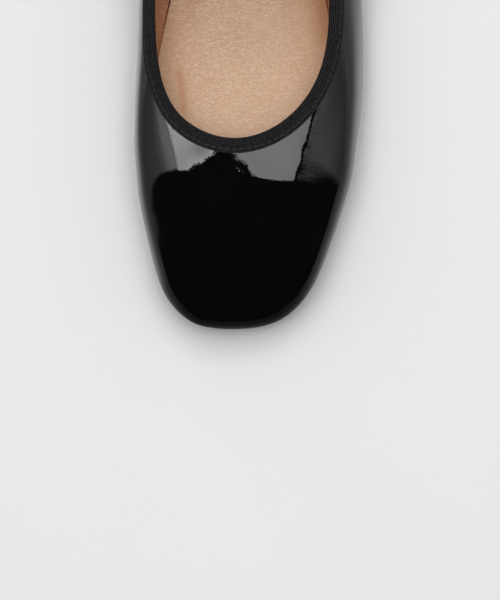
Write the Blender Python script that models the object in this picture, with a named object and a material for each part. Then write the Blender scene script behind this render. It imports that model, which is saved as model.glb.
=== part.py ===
"""Left mary jane flat in black patent leather with a square toe and a ribbon-bound topline.

Metres, +Z up. The toe points to -Y, the outer (lateral) side is +X and the shoe stands on z = 0.
The last is described by sections that run round the foot from the heel's back seam, along the
lateral side to the toe, and home along the medial side. Each section is a profile that climbs from
the lasting margin under the insole, round the feather edge and up the flank to the topline.
"""

from collections import namedtuple

import bmesh
import bpy
import numpy as np

MM = 0.001

# Driving sizes.
LENGTH = 250 * MM
BALL_WIDTH = 82 * MM
HEEL_HEIGHT = 10 * MM
TOE_SPRING = 6 * MM
BACK_HEIGHT = 58 * MM

# Thicknesses and clearances.
WALL = 1.8 * MM
OUTSOLE_THICKNESS = 3.0 * MM
INSOLE_THICKNESS = 2.5 * MM
BINDING_THICKNESS = 0.7 * MM
BINDING_WIDTH = 5.4 * MM
BINDING_INSIDE = 4.0 * MM
GAP = 0.3 * MM

# Sole: where it touches the floor and where the heel stands, as shares of the length behind the toe.
TREAD_START = 0.22
TREAD_END = 0.42
HEEL_BREAST = 0.78
LASTING_MARGIN = 8 * MM
SOLE_LIP = 1.5 * MM
SOLE_EDGE_ROUND = 0.8 * MM
INSOLE_UNDERCUT = 5.4 * MM
INSOLE_CLEARANCE = 0.6 * MM
INSOLE_EDGE_ROUND = 0.7 * MM
HEEL_TAPER = 1.5 * MM

# Strap: where it crosses the topline, as a share of the length behind the toe, how far its ends lie
# down each quarter, how far below the edge it leaves the quarters, and how strongly it springs up.
STRAP_BACK = 0.53
STRAP_WIDTH = 9 * MM
STRAP_THICKNESS = 2 * MM
STRAP_DROP_LATERAL = 19 * MM
STRAP_DROP_MEDIAL = 16 * MM
STRAP_LEAVE = 6 * MM
STRAP_LIFT_RUN = 4 * MM
STRAP_SPRING = 108 * MM
BUTTON_RADIUS = 4.2 * MM
BUTTON_HEIGHT = 2.4 * MM
BUTTON_FROM_END = 6 * MM

# Mesh density. A section's profile has one span between each two of its eight control points.
SPANS = 7
AROUND = 76
ROWS_PER_SPAN = 3
SOLE_PAIRS = 40
STRAP_QUARTER_STEPS = 10
STRAP_ARCH_STEPS = 28
BUTTON_SIDES = 20
LAP_SAMPLES = 4000
EDGE_SPANS = 4
EDGE_SAMPLES = 161
END_TRIM = 0.03

# The widest line of the shoe seen from above: back is the percentage of the length behind the toe
# tip, side the percentage of the ball width from the middle (lateral is positive), and rim the
# percentage of the way round the topline at which the section ends.
Section = namedtuple("Section", "name back side rim")
SECTIONS = [
    Section("heel_back", 100.0, -3.0, 0.0),
    Section("heel_corner_lateral", 97.2, 21.3, 4.4),
    Section("heel_lateral", 88.8, 34.1, 9.7),
    Section("rear_waist_lateral", 76.8, 38.5, 16.7),
    Section("waist_lateral", 62.8, 44.4, 25.0),
    Section("joint_lateral", 49.6, 48.7, 32.9),
    Section("ball_lateral", 38.8, 50.1, 39.2),
    Section("little_toe", 29.2, 48.7, 43.2),
    Section("fore_lateral", 20.4, 43.5, 45.6),
    Section("toe_side_lateral", 12.0, 35.4, 47.4),
    Section("toe_corner_lateral", 5.4, 26.5, 48.7),
    Section("toe_front_lateral", 1.3, 13.7, 49.6),
    Section("toe_front", 0.0, -5.6, 50.4),
    Section("toe_front_medial", 1.2, -25.4, 51.2),
    Section("toe_corner_medial", 5.2, -36.6, 52.1),
    Section("toe_side_medial", 11.6, -43.2, 53.5),
    Section("big_toe", 19.6, -47.7, 55.3),
    Section("ball_medial", 28.4, -50.0, 57.9),
    Section("joint_medial", 38.0, -49.0, 61.4),
    Section("fore_waist_medial", 48.4, -47.6, 67.2),
    Section("waist_medial", 62.0, -44.6, 75.3),
    Section("rear_waist_medial", 76.0, -41.5, 83.5),
    Section("heel_medial", 88.8, -40.2, 90.5),
    Section("heel_corner_medial", 97.2, -27.4, 95.6),
]

# The topline, seen from above as in SECTIONS, with its height above the floor as a percentage of the
# back's height.
Rim = namedtuple("Rim", "name back side height")
TOPLINE = [
    Rim("back_seam", 97.8, -3.0, 100.0),
    Rim("heel_corner_lateral", 95.2, 17.6, 98.3),
    Rim("heel_lateral", 87.4, 28.8, 91.4),
    Rim("quarter_lateral", 70.0, 33.0, 77.6),
    Rim("instep_lateral", 48.0, 34.9, 66.6),
    Rim("throat_side_lateral", 36.8, 31.0, 62.0),
    Rim("throat_corner_lateral", 30.9, 20.0, 59.8),
    Rim("throat", 27.0, -6.3, 59.2),
    Rim("throat_corner_medial", 30.9, -31.1, 59.8),
    Rim("throat_side_medial", 36.8, -38.4, 62.6),
    Rim("instep_medial", 48.0, -40.7, 69.0),
    Rim("quarter_medial", 70.0, -39.0, 80.7),
    Rim("heel_medial", 87.4, -34.9, 92.1),
    Rim("heel_corner_medial", 95.2, -23.8, 98.3),
]

# The flank of the upper, in millimetres, at some of the sections. inset is how far the feather edge
# lies inside the widest line; low and high bound the upright part of the wall above the seat;
# shoulder_in and shoulder_up place the roll-over towards the top; crown swells what lies above it, and
# brow what lies next to the topline.
Flank = namedtuple("Flank", "name inset low high shoulder_in shoulder_up crown brow")
FLANKS = [
    Flank("heel_back", 6.0, 7.0, 21.0, 0.8, 32.0, 0.4, 0.4),
    Flank("heel_lateral", 6.0, 7.0, 19.0, 1.2, 27.0, 0.6, 0.6),
    Flank("waist_lateral", 16.5, 11.0, 19.5, 2.2, 25.5, 1.4, 1.4),
    Flank("joint_lateral", 17.0, 10.5, 17.5, 3.0, 25.0, 1.9, 1.9),
    Flank("ball_lateral", 12.5, 8.0, 13.0, 3.2, 25.0, 1.4, 1.6),
    Flank("little_toe", 7.0, 5.5, 11.5, 3.2, 25.8, 0.8, 1.4),
    Flank("fore_lateral", 5.0, 4.5, 10.5, 3.0, 24.5, 0.6, 1.4),
    Flank("toe_front", 5.0, 4.0, 8.0, 3.6, 17.5, 0.4, 1.0),
    Flank("big_toe", 5.0, 4.5, 10.5, 2.8, 25.0, 0.6, 1.4),
    Flank("ball_medial", 5.5, 5.5, 12.0, 2.2, 26.8, 0.7, 1.2),
    Flank("joint_medial", 7.0, 6.5, 14.5, 1.8, 27.5, 1.0, 1.3),
    Flank("waist_medial", 15.0, 13.0, 24.0, 0.8, 28.5, 1.0, 1.0),
    Flank("heel_medial", 6.0, 7.0, 19.0, 1.2, 27.0, 0.6, 0.6),
]


def closed_spline(knots, values, at):
    """Values on a closed cubic curve with continuous curvature through one row of values per knot.

    knots has one entry more than values: the last is where the curve meets its start.
    """
    count = len(values)
    step = np.diff(knots)
    before = np.roll(step, 1)
    slope = (np.roll(values, -1, axis=0) - values) / step[:, None]
    system = np.diag(2 * (before + step))
    index = np.arange(count)
    system[index, index - 1] += before
    system[index, (index + 1) % count] += step
    bend = np.linalg.solve(system, 6 * (slope - np.roll(slope, 1, axis=0)))
    place = np.mod(at - knots[0], knots[-1] - knots[0]) + knots[0]
    left = np.clip(np.searchsorted(knots, place, side="right") - 1, 0, count - 1)
    right = (left + 1) % count
    width = step[left][:, None]
    b = (place - knots[left])[:, None] / width
    a = 1 - b
    swell = ((a**3 - a) * bend[left] + (b**3 - b) * bend[right]) * width**2 / 6
    return a * values[left] + b * values[right] + swell


def chord_knots(points):
    """Distance travelled round a closed chain of points, ending with the whole way round."""
    chords = np.linalg.norm(np.roll(points, -1, axis=0) - points, axis=1)
    return np.concatenate([[0.0], np.cumsum(chords)])


def plan(back, side):
    """Percentages of the length and the ball width as x and y."""
    x = np.asarray(side) / 100 * BALL_WIDTH
    y = (np.asarray(back) / 100 - 0.5) * LENGTH
    return np.stack([x, y], axis=-1)


def tread(y):
    """Height of the sole's underside: toe spring, flat tread, arch, and the seat over the heel."""
    back = y / LENGTH + 0.5
    spring = np.clip(1 - back / TREAD_START, 0, None) ** 2 * TOE_SPRING
    climb = np.clip((back - TREAD_END) / (HEEL_BREAST - TREAD_END), 0, 1)
    return spring + HEEL_HEIGHT * climb**2 * (3 - 2 * climb)


def seat(y):
    """Height on which the upper's lasting margin lies."""
    return tread(y) + OUTSOLE_THICKNESS + GAP


OUTLINE_POINTS = plan([s.back for s in SECTIONS], [s.side for s in SECTIONS])
OUTLINE_KNOTS = chord_knots(OUTLINE_POINTS)
GIRTH = OUTLINE_KNOTS[-1]
SECTION_KNOT = {s.name: knot for s, knot in zip(SECTIONS, OUTLINE_KNOTS)}


def outline(at):
    """The widest line seen from above, and its unit normal towards the inside of the shoe."""
    points = closed_spline(OUTLINE_KNOTS, OUTLINE_POINTS, at)
    step = GIRTH * 1e-4
    ahead = closed_spline(OUTLINE_KNOTS, OUTLINE_POINTS, at + step)
    behind = closed_spline(OUTLINE_KNOTS, OUTLINE_POINTS, at - step)
    along = (ahead - behind) / np.linalg.norm(ahead - behind, axis=1)[:, None]
    return points, np.stack([along[:, 1], -along[:, 0]], axis=-1)


def topline(at):
    """The opening's edge in three dimensions at each place round the outline."""
    points = plan([r.back for r in TOPLINE], [r.side for r in TOPLINE])
    heights = np.array([r.height for r in TOPLINE]) / 100 * BACK_HEIGHT
    knots = chord_knots(points)
    turns = np.array([s.rim for s in SECTIONS])
    # The share of the way round grows by 100 a lap, so only its departure from an even lap is closed.
    lap = OUTLINE_KNOTS[:-1] / GIRTH * 100
    share = closed_spline(OUTLINE_KNOTS, (turns - lap)[:, None], at)[:, 0] + at / GIRTH * 100
    rim = np.column_stack([points, heights])
    return closed_spline(knots, rim, share / 100 * knots[-1])


def flank(at):
    """The columns of FLANKS, in metres, at each place round the outline."""
    knots = np.array([SECTION_KNOT[f.name] for f in FLANKS] + [GIRTH])
    values = np.array([f[1:] for f in FLANKS]) * MM
    return Flank("", *closed_spline(knots, values, at).T)


def feather(at, extra=0.0):
    """The feather edge, where the flank meets the sole, or a line that lies extra further inside."""
    wide, inward = outline(at)
    return wide + inward * (flank(at).inset + extra)[:, None]


def profile_cage(at):
    """Control points of each section's profile, from the margin's inner edge to the topline."""
    wide, _ = outline(at)
    rim = topline(at)
    shape = flank(at)
    foot = feather(at)
    margin = feather(at, LASTING_MARGIN)
    floor = seat(foot[:, 1])
    reach = rim[:, :2] - wide
    towards = reach / np.linalg.norm(reach, axis=1)[:, None]
    shoulder = np.column_stack([wide + towards * shape.shoulder_in[:, None], floor + shape.shoulder_up])
    rise = rim - shoulder
    cut = (BINDING_THICKNESS + GAP) / np.linalg.norm(rise, axis=1)
    rise = rise * (1 - cut)[:, None]
    level = np.zeros_like(wide)
    crown = np.column_stack([level, shape.crown])
    brow = np.column_stack([level, shape.brow])
    return np.array([
        np.column_stack([margin, seat(margin[:, 1])]),
        np.column_stack([foot, floor]),
        np.column_stack([wide, floor + shape.low]),
        np.column_stack([wide, floor + shape.high]),
        shoulder,
        shoulder + rise / 3 + crown,
        shoulder + rise * 2 / 3 + brow,
        shoulder + rise,
    ])


def skin(at, climb):
    """The upper's outer surface: a uniform cubic B-spline up each cage, with free ends.

    climb runs from 0 at the lasting margin's edge to 7 at the topline, one unit for each span.
    """
    cage = profile_cage(at)
    cage = np.concatenate([[2 * cage[0] - cage[1]], cage, [2 * cage[-1] - cage[-2]]])
    span = np.minimum(climb.astype(int), len(cage) - 4)
    u = (climb - span)[:, None, None]
    weights = [
        (1 - u) ** 3 / 6,
        (3 * u**3 - 6 * u**2 + 4) / 6,
        (-3 * u**3 + 3 * u**2 + 3 * u + 1) / 6,
        u**3 / 6,
    ]
    return sum(weight * cage[span + k] for k, weight in enumerate(weights))


def skin_normals(at, climb):
    """Unit outward normals of the skin."""
    step = 1e-3
    around = skin(at + GIRTH * step, climb) - skin(at - GIRTH * step, climb)
    up = skin(at, np.minimum(climb + step, SPANS)) - skin(at, np.maximum(climb - step, 0))
    normal = np.cross(around, up)
    return -normal / np.linalg.norm(normal, axis=2)[:, :, None]


def material(name, colour, roughness, metallic=0.0):
    """A plain finish with a linear colour."""
    made = bpy.data.materials.new(name)
    made.use_nodes = True
    shader = made.node_tree.nodes["Principled BSDF"]
    shader.inputs["Base Color"].default_value = (*colour, 1)
    shader.inputs["Roughness"].default_value = roughness
    shader.inputs["Metallic"].default_value = metallic
    return made


def add_object(name, mesh_builder, finish):
    """Makes a named, smooth-shaded object from a bmesh and returns it."""
    mesh = bpy.data.meshes.new(name)
    bmesh.ops.recalc_face_normals(mesh_builder, faces=mesh_builder.faces)
    mesh_builder.to_mesh(mesh)
    mesh_builder.free()
    mesh.shade_smooth()
    mesh.set_sharp_from_angle(angle=np.radians(40))
    mesh.materials.append(finish)
    made = bpy.data.objects.new(name, mesh)
    bpy.context.scene.collection.objects.link(made)
    return made


def bridge_rings(builder, rings, closed_path=False):
    """Adds one closed loop of vertices per ring and quads between neighbouring loops."""
    loops = [[builder.verts.new(point) for point in ring] for ring in rings]
    pairs = list(zip(loops, loops[1:]))
    if closed_path:
        pairs.append((loops[-1], loops[0]))
    for lower, upper in pairs:
        for i in range(len(lower)):
            j = (i + 1) % len(lower)
            builder.faces.new((lower[i], lower[j], upper[j], upper[i]))
    return loops


def close_with_ladder(builder, loop):
    """Fills a loop with rungs between points that face each other across the shoe."""
    count = len(loop)
    for i in range(count // 2 - 1):
        builder.faces.new((loop[i], loop[i + 1], loop[count - 2 - i], loop[count - 1 - i]))


def paired_places(first_back, last_back):
    """Places round the outline, lateral then medial, whose feather points face each other.

    The pairs crowd towards both ends, where the outline turns.
    """
    lap = np.linspace(0, GIRTH, LAP_SAMPLES)
    y = feather(lap)[:, 1]
    toe = lap[np.argmin(y)]
    heel = lap[np.argmax(y)]
    if heel > toe:
        heel -= GIRTH
    low = max(y.min(), (first_back - 0.5) * LENGTH)
    high = min(y.max(), (last_back - 0.5) * LENGTH)
    share = (1 - np.cos(np.linspace(END_TRIM, 1 - END_TRIM, SOLE_PAIRS) * np.pi)) / 2
    wanted = low + (high - low) * share
    lateral = np.linspace(toe, heel, LAP_SAMPLES)
    medial = np.linspace(toe, heel + GIRTH, LAP_SAMPLES)
    on_lateral = np.interp(wanted, feather(lateral)[:, 1], lateral)
    on_medial = np.interp(wanted, feather(medial)[:, 1], medial)
    return np.concatenate([on_lateral, on_medial[::-1]])


def plate(name, places, levels, finish):
    """A closed plate under the foot. Each level is an inset from the feather edge and a height rule."""
    rings = []
    for extra, height in levels:
        ring = feather(places, extra)
        rings.append(np.column_stack([ring, height(ring[:, 1])]))
    builder = bmesh.new()
    loops = bridge_rings(builder, rings)
    close_with_ladder(builder, loops[0])
    close_with_ladder(builder, loops[-1])
    return add_object(name, builder, finish)


def make_outsole(finish):
    """A thin sole that follows the feather edge and stands just outside it."""
    levels = [
        (SOLE_EDGE_ROUND - SOLE_LIP, tread),
        (-SOLE_LIP, lambda y: tread(y) + SOLE_EDGE_ROUND),
        (-SOLE_LIP, lambda y: tread(y) + OUTSOLE_THICKNESS - SOLE_EDGE_ROUND),
        (SOLE_EDGE_ROUND - SOLE_LIP, lambda y: tread(y) + OUTSOLE_THICKNESS),
    ]
    return plate("outsole", paired_places(0, 1), levels, finish)


def make_heel(finish):
    """A low block under the heel seat, a little smaller at the floor than at the sole."""
    def top(y):
        return tread(y) - GAP

    levels = [
        (HEEL_TAPER + SOLE_EDGE_ROUND - SOLE_LIP, lambda y: 0 * y),
        (HEEL_TAPER - SOLE_LIP, lambda y: 0 * y + SOLE_EDGE_ROUND),
        (SOLE_EDGE_ROUND - SOLE_LIP, top),
    ]
    return plate("heel", paired_places(HEEL_BREAST, 1), levels, finish)


def make_insole(finish):
    """The leather-covered footbed, which lies on the upper's lasting margin."""
    def under(y):
        return seat(y) + WALL + GAP

    levels = [
        (INSOLE_UNDERCUT, under),
        (INSOLE_CLEARANCE + INSOLE_EDGE_ROUND, lambda y: under(y) + INSOLE_THICKNESS / 2),
        (INSOLE_CLEARANCE, lambda y: under(y) + INSOLE_THICKNESS - INSOLE_EDGE_ROUND),
        (INSOLE_CLEARANCE + INSOLE_EDGE_ROUND, lambda y: under(y) + INSOLE_THICKNESS),
    ]
    return plate("insole", paired_places(0, 1), levels, finish)


def make_upper(finish):
    """The hollow upper: the skin with a wall grown inwards, open at the topline and underneath."""
    at = np.linspace(0, GIRTH, AROUND, endpoint=False)
    climb = np.linspace(0, SPANS, SPANS * ROWS_PER_SPAN + 1)
    builder = bmesh.new()
    bridge_rings(builder, skin(at, climb))
    made = add_object("upper", builder, finish)
    wall = made.modifiers.new("wall", "SOLIDIFY")
    wall.thickness = WALL
    wall.offset = -1
    wall.use_even_offset = True
    return made


def edge_strip(at, distances):
    """Points and outward normals of the skin at distances measured down each section from its edge."""
    climb = np.linspace(SPANS - EDGE_SPANS, SPANS, EDGE_SAMPLES)
    points = skin(at, climb)[::-1]
    normals = skin_normals(at, climb)[::-1]
    steps = np.linalg.norm(np.diff(points, axis=0), axis=2)
    travelled = np.concatenate([np.zeros((1, len(at))), np.cumsum(steps, axis=0)])
    found = np.empty((2, len(distances), len(at), 3))
    for column in range(len(at)):
        for axis in range(3):
            found[0, :, column, axis] = np.interp(distances, travelled[:, column], points[:, column, axis])
            found[1, :, column, axis] = np.interp(distances, travelled[:, column], normals[:, column, axis])
    return found


def make_binding(finish):
    """A ribbon folded over the upper's edge: an outer leaf, a round fold and an inner leaf."""
    at = np.linspace(0, GIRTH, AROUND, endpoint=False)
    fold = GAP + BINDING_THICKNESS
    leaf = BINDING_WIDTH - fold
    inside = WALL + GAP
    # Each corner of the ribbon's section: distance down the skin, height above the edge, and offset
    # from the skin.
    corners = [
        (leaf, 0, GAP),
        (leaf, 0, fold),
        (leaf * 2 / 3, 0, fold),
        (leaf / 3, 0, fold),
        (0, 0, fold),
        (0, 0.7 * fold, 0.7 * fold - 0.3 * WALL / 2),
        (0, fold, -WALL / 2),
        (0, 0.7 * fold, -WALL - 0.7 * fold + 0.3 * WALL / 2),
        (0, 0, -WALL - fold),
        (BINDING_INSIDE, 0, -WALL - fold),
        (BINDING_INSIDE, 0, -inside),
        (0, GAP, -inside),
        (0, GAP, GAP),
        (leaf / 3, 0, GAP),
        (leaf * 2 / 3, 0, GAP),
    ]
    points, normals = edge_strip(at, np.array([down for down, _, _ in corners]))
    near, _ = edge_strip(at, np.array([0, 0.5 * MM]))
    up = (near[0] - near[1]) / np.linalg.norm(near[0] - near[1], axis=1)[:, None]
    rings = [
        points[k] + up * above + normals[k] * offset
        for k, (_, above, offset) in enumerate(corners)
    ]
    builder = bmesh.new()
    bridge_rings(builder, rings, closed_path=True)
    return add_object("binding", builder, finish)


def quarter_place(side_sign):
    """The place round the outline whose topline point lies under the strap on one side."""
    at = np.linspace(0, GIRTH, LAP_SAMPLES)
    rim = topline(at)
    miss = np.abs(rim[:, 1] - (STRAP_BACK - 0.5) * LENGTH)
    miss[rim[:, 0] * side_sign < 0] = np.inf
    return at[np.argmin(miss)]


def quarter_run(side_sign, drop):
    """Strap centres and width directions from its end up one quarter to where it leaves it."""
    place = quarter_place(side_sign)
    at = place + np.array([-1, 0, 1]) * STRAP_WIDTH / 2
    down = np.linspace(drop, STRAP_LEAVE, STRAP_QUARTER_STEPS + 1)
    points, normals = edge_strip(at, down)
    over_binding = np.clip((STRAP_LEAVE + STRAP_LIFT_RUN - down) / STRAP_LIFT_RUN, 0, 1)
    over_binding = over_binding**2 * (3 - 2 * over_binding)
    lift = STRAP_THICKNESS / 2 + GAP + over_binding * (BINDING_THICKNESS + GAP)
    along = points[:, 2] - points[:, 0]
    along /= np.linalg.norm(along, axis=1)[:, None]
    return points[:, 1] + normals[:, 1] * lift[:, None], along


def strap_frames():
    """Centres, width directions and outward directions of the strap from its lateral to its medial end."""
    start, start_along = quarter_run(1, STRAP_DROP_LATERAL)
    finish, finish_along = quarter_run(-1, STRAP_DROP_MEDIAL)
    finish, finish_along = finish[::-1], -finish_along[::-1]
    leave = start[-1] - start[-2]
    arrive = finish[1] - finish[0]
    leave *= STRAP_SPRING / np.linalg.norm(leave)
    arrive *= STRAP_SPRING / np.linalg.norm(arrive)
    t = np.linspace(0, 1, STRAP_ARCH_STEPS + 1)[1:-1, None]
    arch = (
        (2 * t**3 - 3 * t**2 + 1) * start[-1]
        + (t**3 - 2 * t**2 + t) * leave
        + (3 * t**2 - 2 * t**3) * finish[0]
        + (t**3 - t**2) * arrive
    )
    arch_along = (1 - t) * start_along[-1] + t * finish_along[0]
    centres = np.concatenate([start, arch, finish])
    along = np.concatenate([start_along, arch_along, finish_along])
    along /= np.linalg.norm(along, axis=1)[:, None]
    forward = np.gradient(centres, axis=0)
    outward = np.cross(forward, along)
    outward /= np.linalg.norm(outward, axis=1)[:, None]
    return centres, along, outward


def make_strap(finish):
    """A flat strap with rounded ends that lies on both quarters and arches over the instep."""
    centres, along, outward = strap_frames()
    travelled = np.concatenate([[0], np.cumsum(np.linalg.norm(np.diff(centres, axis=0), axis=1))])
    from_end = np.minimum(travelled, travelled[-1] - travelled)
    rounding = np.clip(1 - from_end / (STRAP_WIDTH / 2), 0, 0.97)
    half = STRAP_WIDTH / 2 * np.sqrt(1 - rounding**2)
    rim = STRAP_THICKNESS / 2
    # Corners of the section as shares of the half width and of the half thickness.
    section = [(1, 0.4), (0.9, 1), (-0.9, 1), (-1, 0.4), (-1, -0.4), (-0.9, -1), (0.9, -1), (1, -0.4)]
    rings = [
        [c + w * h * across + n * rim * up for across, up in section]
        for c, w, n, h in zip(centres, along, outward, half)
    ]
    builder = bmesh.new()
    loops = bridge_rings(builder, rings)
    builder.faces.new(loops[0])
    builder.faces.new(loops[-1])
    return add_object("strap", builder, finish)


def make_button(finish):
    """A domed button on the strap's lateral end."""
    centres, along, outward = strap_frames()
    travelled = np.concatenate([[0], np.cumsum(np.linalg.norm(np.diff(centres, axis=0), axis=1))])
    k = np.argmin(np.abs(travelled - BUTTON_FROM_END))
    base = centres[k] + outward[k] * (STRAP_THICKNESS / 2 + GAP)
    across = along[k]
    down = np.cross(outward[k], across)
    turn = np.linspace(0, 2 * np.pi, BUTTON_SIDES, endpoint=False)[:, None]
    spoke = np.cos(turn) * across + np.sin(turn) * down
    # The dome's radius and height, as shares of the button's.
    dome = [(0.9, 0), (1, 0.3), (0.92, 0.6), (0.7, 0.85), (0.38, 0.97)]
    rings = [base + spoke * BUTTON_RADIUS * r + outward[k] * BUTTON_HEIGHT * h for r, h in dome]
    builder = bmesh.new()
    loops = bridge_rings(builder, rings)
    builder.faces.new(loops[0])
    builder.faces.new(loops[-1])
    return add_object("button", builder, finish)


def main():
    for old in list(bpy.data.objects):
        bpy.data.objects.remove(old)
    patent = material("patent_leather", (0.008, 0.008, 0.008), 0.06)
    rubber = material("sole_rubber", (0.015, 0.015, 0.015), 0.6)
    tan = material("tan_leather", (0.58, 0.37, 0.25), 0.55)
    ribbon = material("ribbed_ribbon", (0.014, 0.014, 0.015), 0.7)
    make_outsole(rubber)
    make_heel(rubber)
    make_upper(patent)
    make_insole(tan)
    make_binding(ribbon)
    make_strap(patent)
    make_button(patent)


main()
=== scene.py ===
"""Looks of the left mary jane flat: patent leather, ribbon binding, leather inside, rubber sole.

Metres, +Z up, toe towards -Y, lateral side towards +X. Most shapes are functions of two parameters:
at, the distance round the widest line from the heel's back seam along the lateral side to the toe and
home, and climb, the height up a section from the lasting margin (0) to the topline (7).
"""

from collections import namedtuple

import bpy
import numpy as np
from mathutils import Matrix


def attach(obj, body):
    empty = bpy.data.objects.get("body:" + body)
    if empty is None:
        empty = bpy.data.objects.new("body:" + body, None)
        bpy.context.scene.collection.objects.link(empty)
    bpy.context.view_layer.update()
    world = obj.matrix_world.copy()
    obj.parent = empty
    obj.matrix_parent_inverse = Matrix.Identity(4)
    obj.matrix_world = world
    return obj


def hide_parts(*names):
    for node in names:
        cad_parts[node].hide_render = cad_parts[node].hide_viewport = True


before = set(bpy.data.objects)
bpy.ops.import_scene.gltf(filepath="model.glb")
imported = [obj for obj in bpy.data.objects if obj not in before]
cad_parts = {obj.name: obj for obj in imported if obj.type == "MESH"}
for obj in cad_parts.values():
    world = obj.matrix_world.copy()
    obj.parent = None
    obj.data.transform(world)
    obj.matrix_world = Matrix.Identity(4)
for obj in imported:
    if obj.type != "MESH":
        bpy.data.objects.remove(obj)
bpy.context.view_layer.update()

MM = 0.001

# The last and the pieces, in the sizes that the construction has.
LENGTH = 250 * MM
BALL_WIDTH = 82 * MM
HEEL_HEIGHT = 10 * MM
TOE_SPRING = 6 * MM
BACK_HEIGHT = 58 * MM
WALL = 1.8 * MM
OUTSOLE_THICKNESS = 3.0 * MM
INSOLE_THICKNESS = 2.5 * MM
BINDING_THICKNESS = 0.7 * MM
BINDING_WIDTH = 5.4 * MM
BINDING_INSIDE = 4.0 * MM
GAP = 0.3 * MM
TREAD_START = 0.22
TREAD_END = 0.42
HEEL_BREAST = 0.78
LASTING_MARGIN = 8 * MM
SOLE_LIP = 1.5 * MM
SOLE_EDGE_ROUND = 0.8 * MM
INSOLE_UNDERCUT = 5.4 * MM
INSOLE_CLEARANCE = 0.35 * MM
INSOLE_EDGE_ROUND = 0.7 * MM
HEEL_TAPER = 1.5 * MM
STRAP_BACK = 0.53
STRAP_WIDTH = 9 * MM
STRAP_THICKNESS = 2 * MM
STRAP_DROP_LATERAL = 19 * MM
STRAP_DROP_MEDIAL = 16 * MM
STRAP_LEAVE = 6 * MM
STRAP_LIFT_RUN = 4 * MM
STRAP_SPRING = 108 * MM
BUTTON_RADIUS = 4.2 * MM
BUTTON_HEIGHT = 2.4 * MM
BUTTON_FROM_END = 6 * MM
SPANS = 7
EDGE_SPANS = 5

# What only shows close up. Lengths are in metres, heights up a section in spans, turns in degrees,
# places along the shoe in shares of its length, and the rest in shares of a piece's own size.
PATENT_THICKNESS = 0.9 * MM
LINING_GAP = 0.05 * MM
LINING_START = 1.0
RIBBON_INNER = 0.35 * MM
EDGE_WALL = 1.0 * MM
SKIVE_START = 5.6
SKIVE_END = 6.3
RIB_PITCH = 0.7 * MM
RIB_HEIGHT = 0.16 * MM
RIB_ROUNDNESS = 0.7
STITCH_RADIUS = 0.2 * MM
STITCH_ARCH = 0.6
STITCH_SUNK = 0.3
STITCH_END_SHARE = 0.04
BINDING_STITCH_PITCH = 2.5 * MM
BINDING_STITCH_LENGTH = 1.9 * MM
BINDING_STITCH_INSET = 1.4 * MM
STRAP_STITCH_PITCH = 2.2 * MM
STRAP_STITCH_LENGTH = 1.7 * MM
STRAP_STITCH_INSET = 1.3 * MM
BACK_SEAM_WIDTH = 0.7 * MM
BACK_SEAM_DEPTH = 0.35 * MM
BACK_SEAM_REACH = 3 * MM
TREAD_PITCH = 4.5 * MM
TREAD_DEPTH = 0.6 * MM
TREAD_STEEPNESS = 2.0
TREAD_LAND = 0.6
TREAD_MARGIN = 6 * MM
TREAD_MARGIN_FULL = 7.8 * MM
TREAD_FOREFOOT = (0.10, 0.12, 0.44, 0.46)
TREAD_HEEL = (0.80, 0.82, 0.94, 0.96)
TOP_PIECE_HEIGHT = 3 * MM
TOP_PIECE_LINE_DEPTH = 0.25 * MM
TOP_PIECE_LINE_WIDTH = 0.35 * MM
HEEL_WALL_START = 0.12
STRAP_CORNER = 0.4
STRAP_END_ROUNDING = 0.995
BUTTON_SKIRT_TURN = -25
BUTTON_CROWN_TURN = 88
BUTTON_ROUNDNESS = 0.75
BUTTON_SKIRT_SHARE = 0.3

# Camera: height above the floor, the height at which the view's length is measured, that length, and
# the point under the middle of the picture, behind the toe tip and aside from the middle.
CAMERA_HEIGHT = 2200 * MM
CAMERA_SCALE_HEIGHT = 12 * MM
CAMERA_SENSOR = 36
VIEW_LENGTH = 213 * MM
VIEW_BACK = 10.5 * MM
VIEW_SIDE = 0.44 * MM

# Level softboxes in metres: two flank the camera, brighter towards it, and a broad one over and behind
# the shoe, which mirrors don't show, gives the floor its light. The radiances are those at the west and
# the east end.
Softbox = namedtuple("Softbox", "name west east front rear height from_west to_east mirrored")
SOFTBOXES = [
    Softbox("left_softbox", -0.20, -0.03, -0.27, 0.10, 1.2, 3.4, 7.2, True),
    Softbox("right_softbox", 0.055, 0.235, -0.29, 0.10, 1.2, 4.1, 3.1, True),
    Softbox("rear_softbox", -0.52, 0.50, -0.28, 1.10, 1.6, 3.65, 3.65, False),
]

# The studio's pale side walls: how bright they are by the sideways part of a view's direction, with a
# glow near the floor beside and behind the shoe. Each ends in front at a straight edge, where the
# forward part is the sideways part times the slant and the upward part times the rise, and fades
# behind. The floor shows in mirrors as the lower half, darker where it lies in front or far off, and
# straight below, where the shoe shades it.
STUDIO_SIDES = [
    (-1.0, 0.4), (-0.75, 0.55), (-0.6, 0.65), (-0.45, 1.2), (-0.33, 2.2), (-0.165, 2.6), (-0.15, 0.0),
    (0.255, 0.0), (0.27, 1.4), (0.5, 0.88), (0.6, 0.75), (0.75, 0.57), (1.0, 0.35),
]
STUDIO_PEAK = 2.6
STUDIO_DARK = 0.01
STUDIO_GLOW = 0.6
STUDIO_GLOW_HEIGHT = (0.4, 0.15)
STUDIO_GLOW_TURN = (-0.2, 0.05)
STUDIO_SLANT = 0.37
STUDIO_RISE = 0.09
STUDIO_FRONT = (-0.025, 0.05)
STUDIO_REAR = (0.1, 0.4)
STUDIO_REAR_SHARE = 0.5
STUDIO_FLOOR = 1.0
STUDIO_FLOOR_FRONT = 0.12
STUDIO_FLOOR_TURN = (-0.95, 0.3)
STUDIO_FLOOR_FAR = (-0.9, -0.35)
STUDIO_FLOOR_FAR_SHARE = 0.72
STUDIO_FLOOR_BELOW = (-0.98, -0.85)
STUDIO_FLOOR_BELOW_SHARE = 0.75

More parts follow.
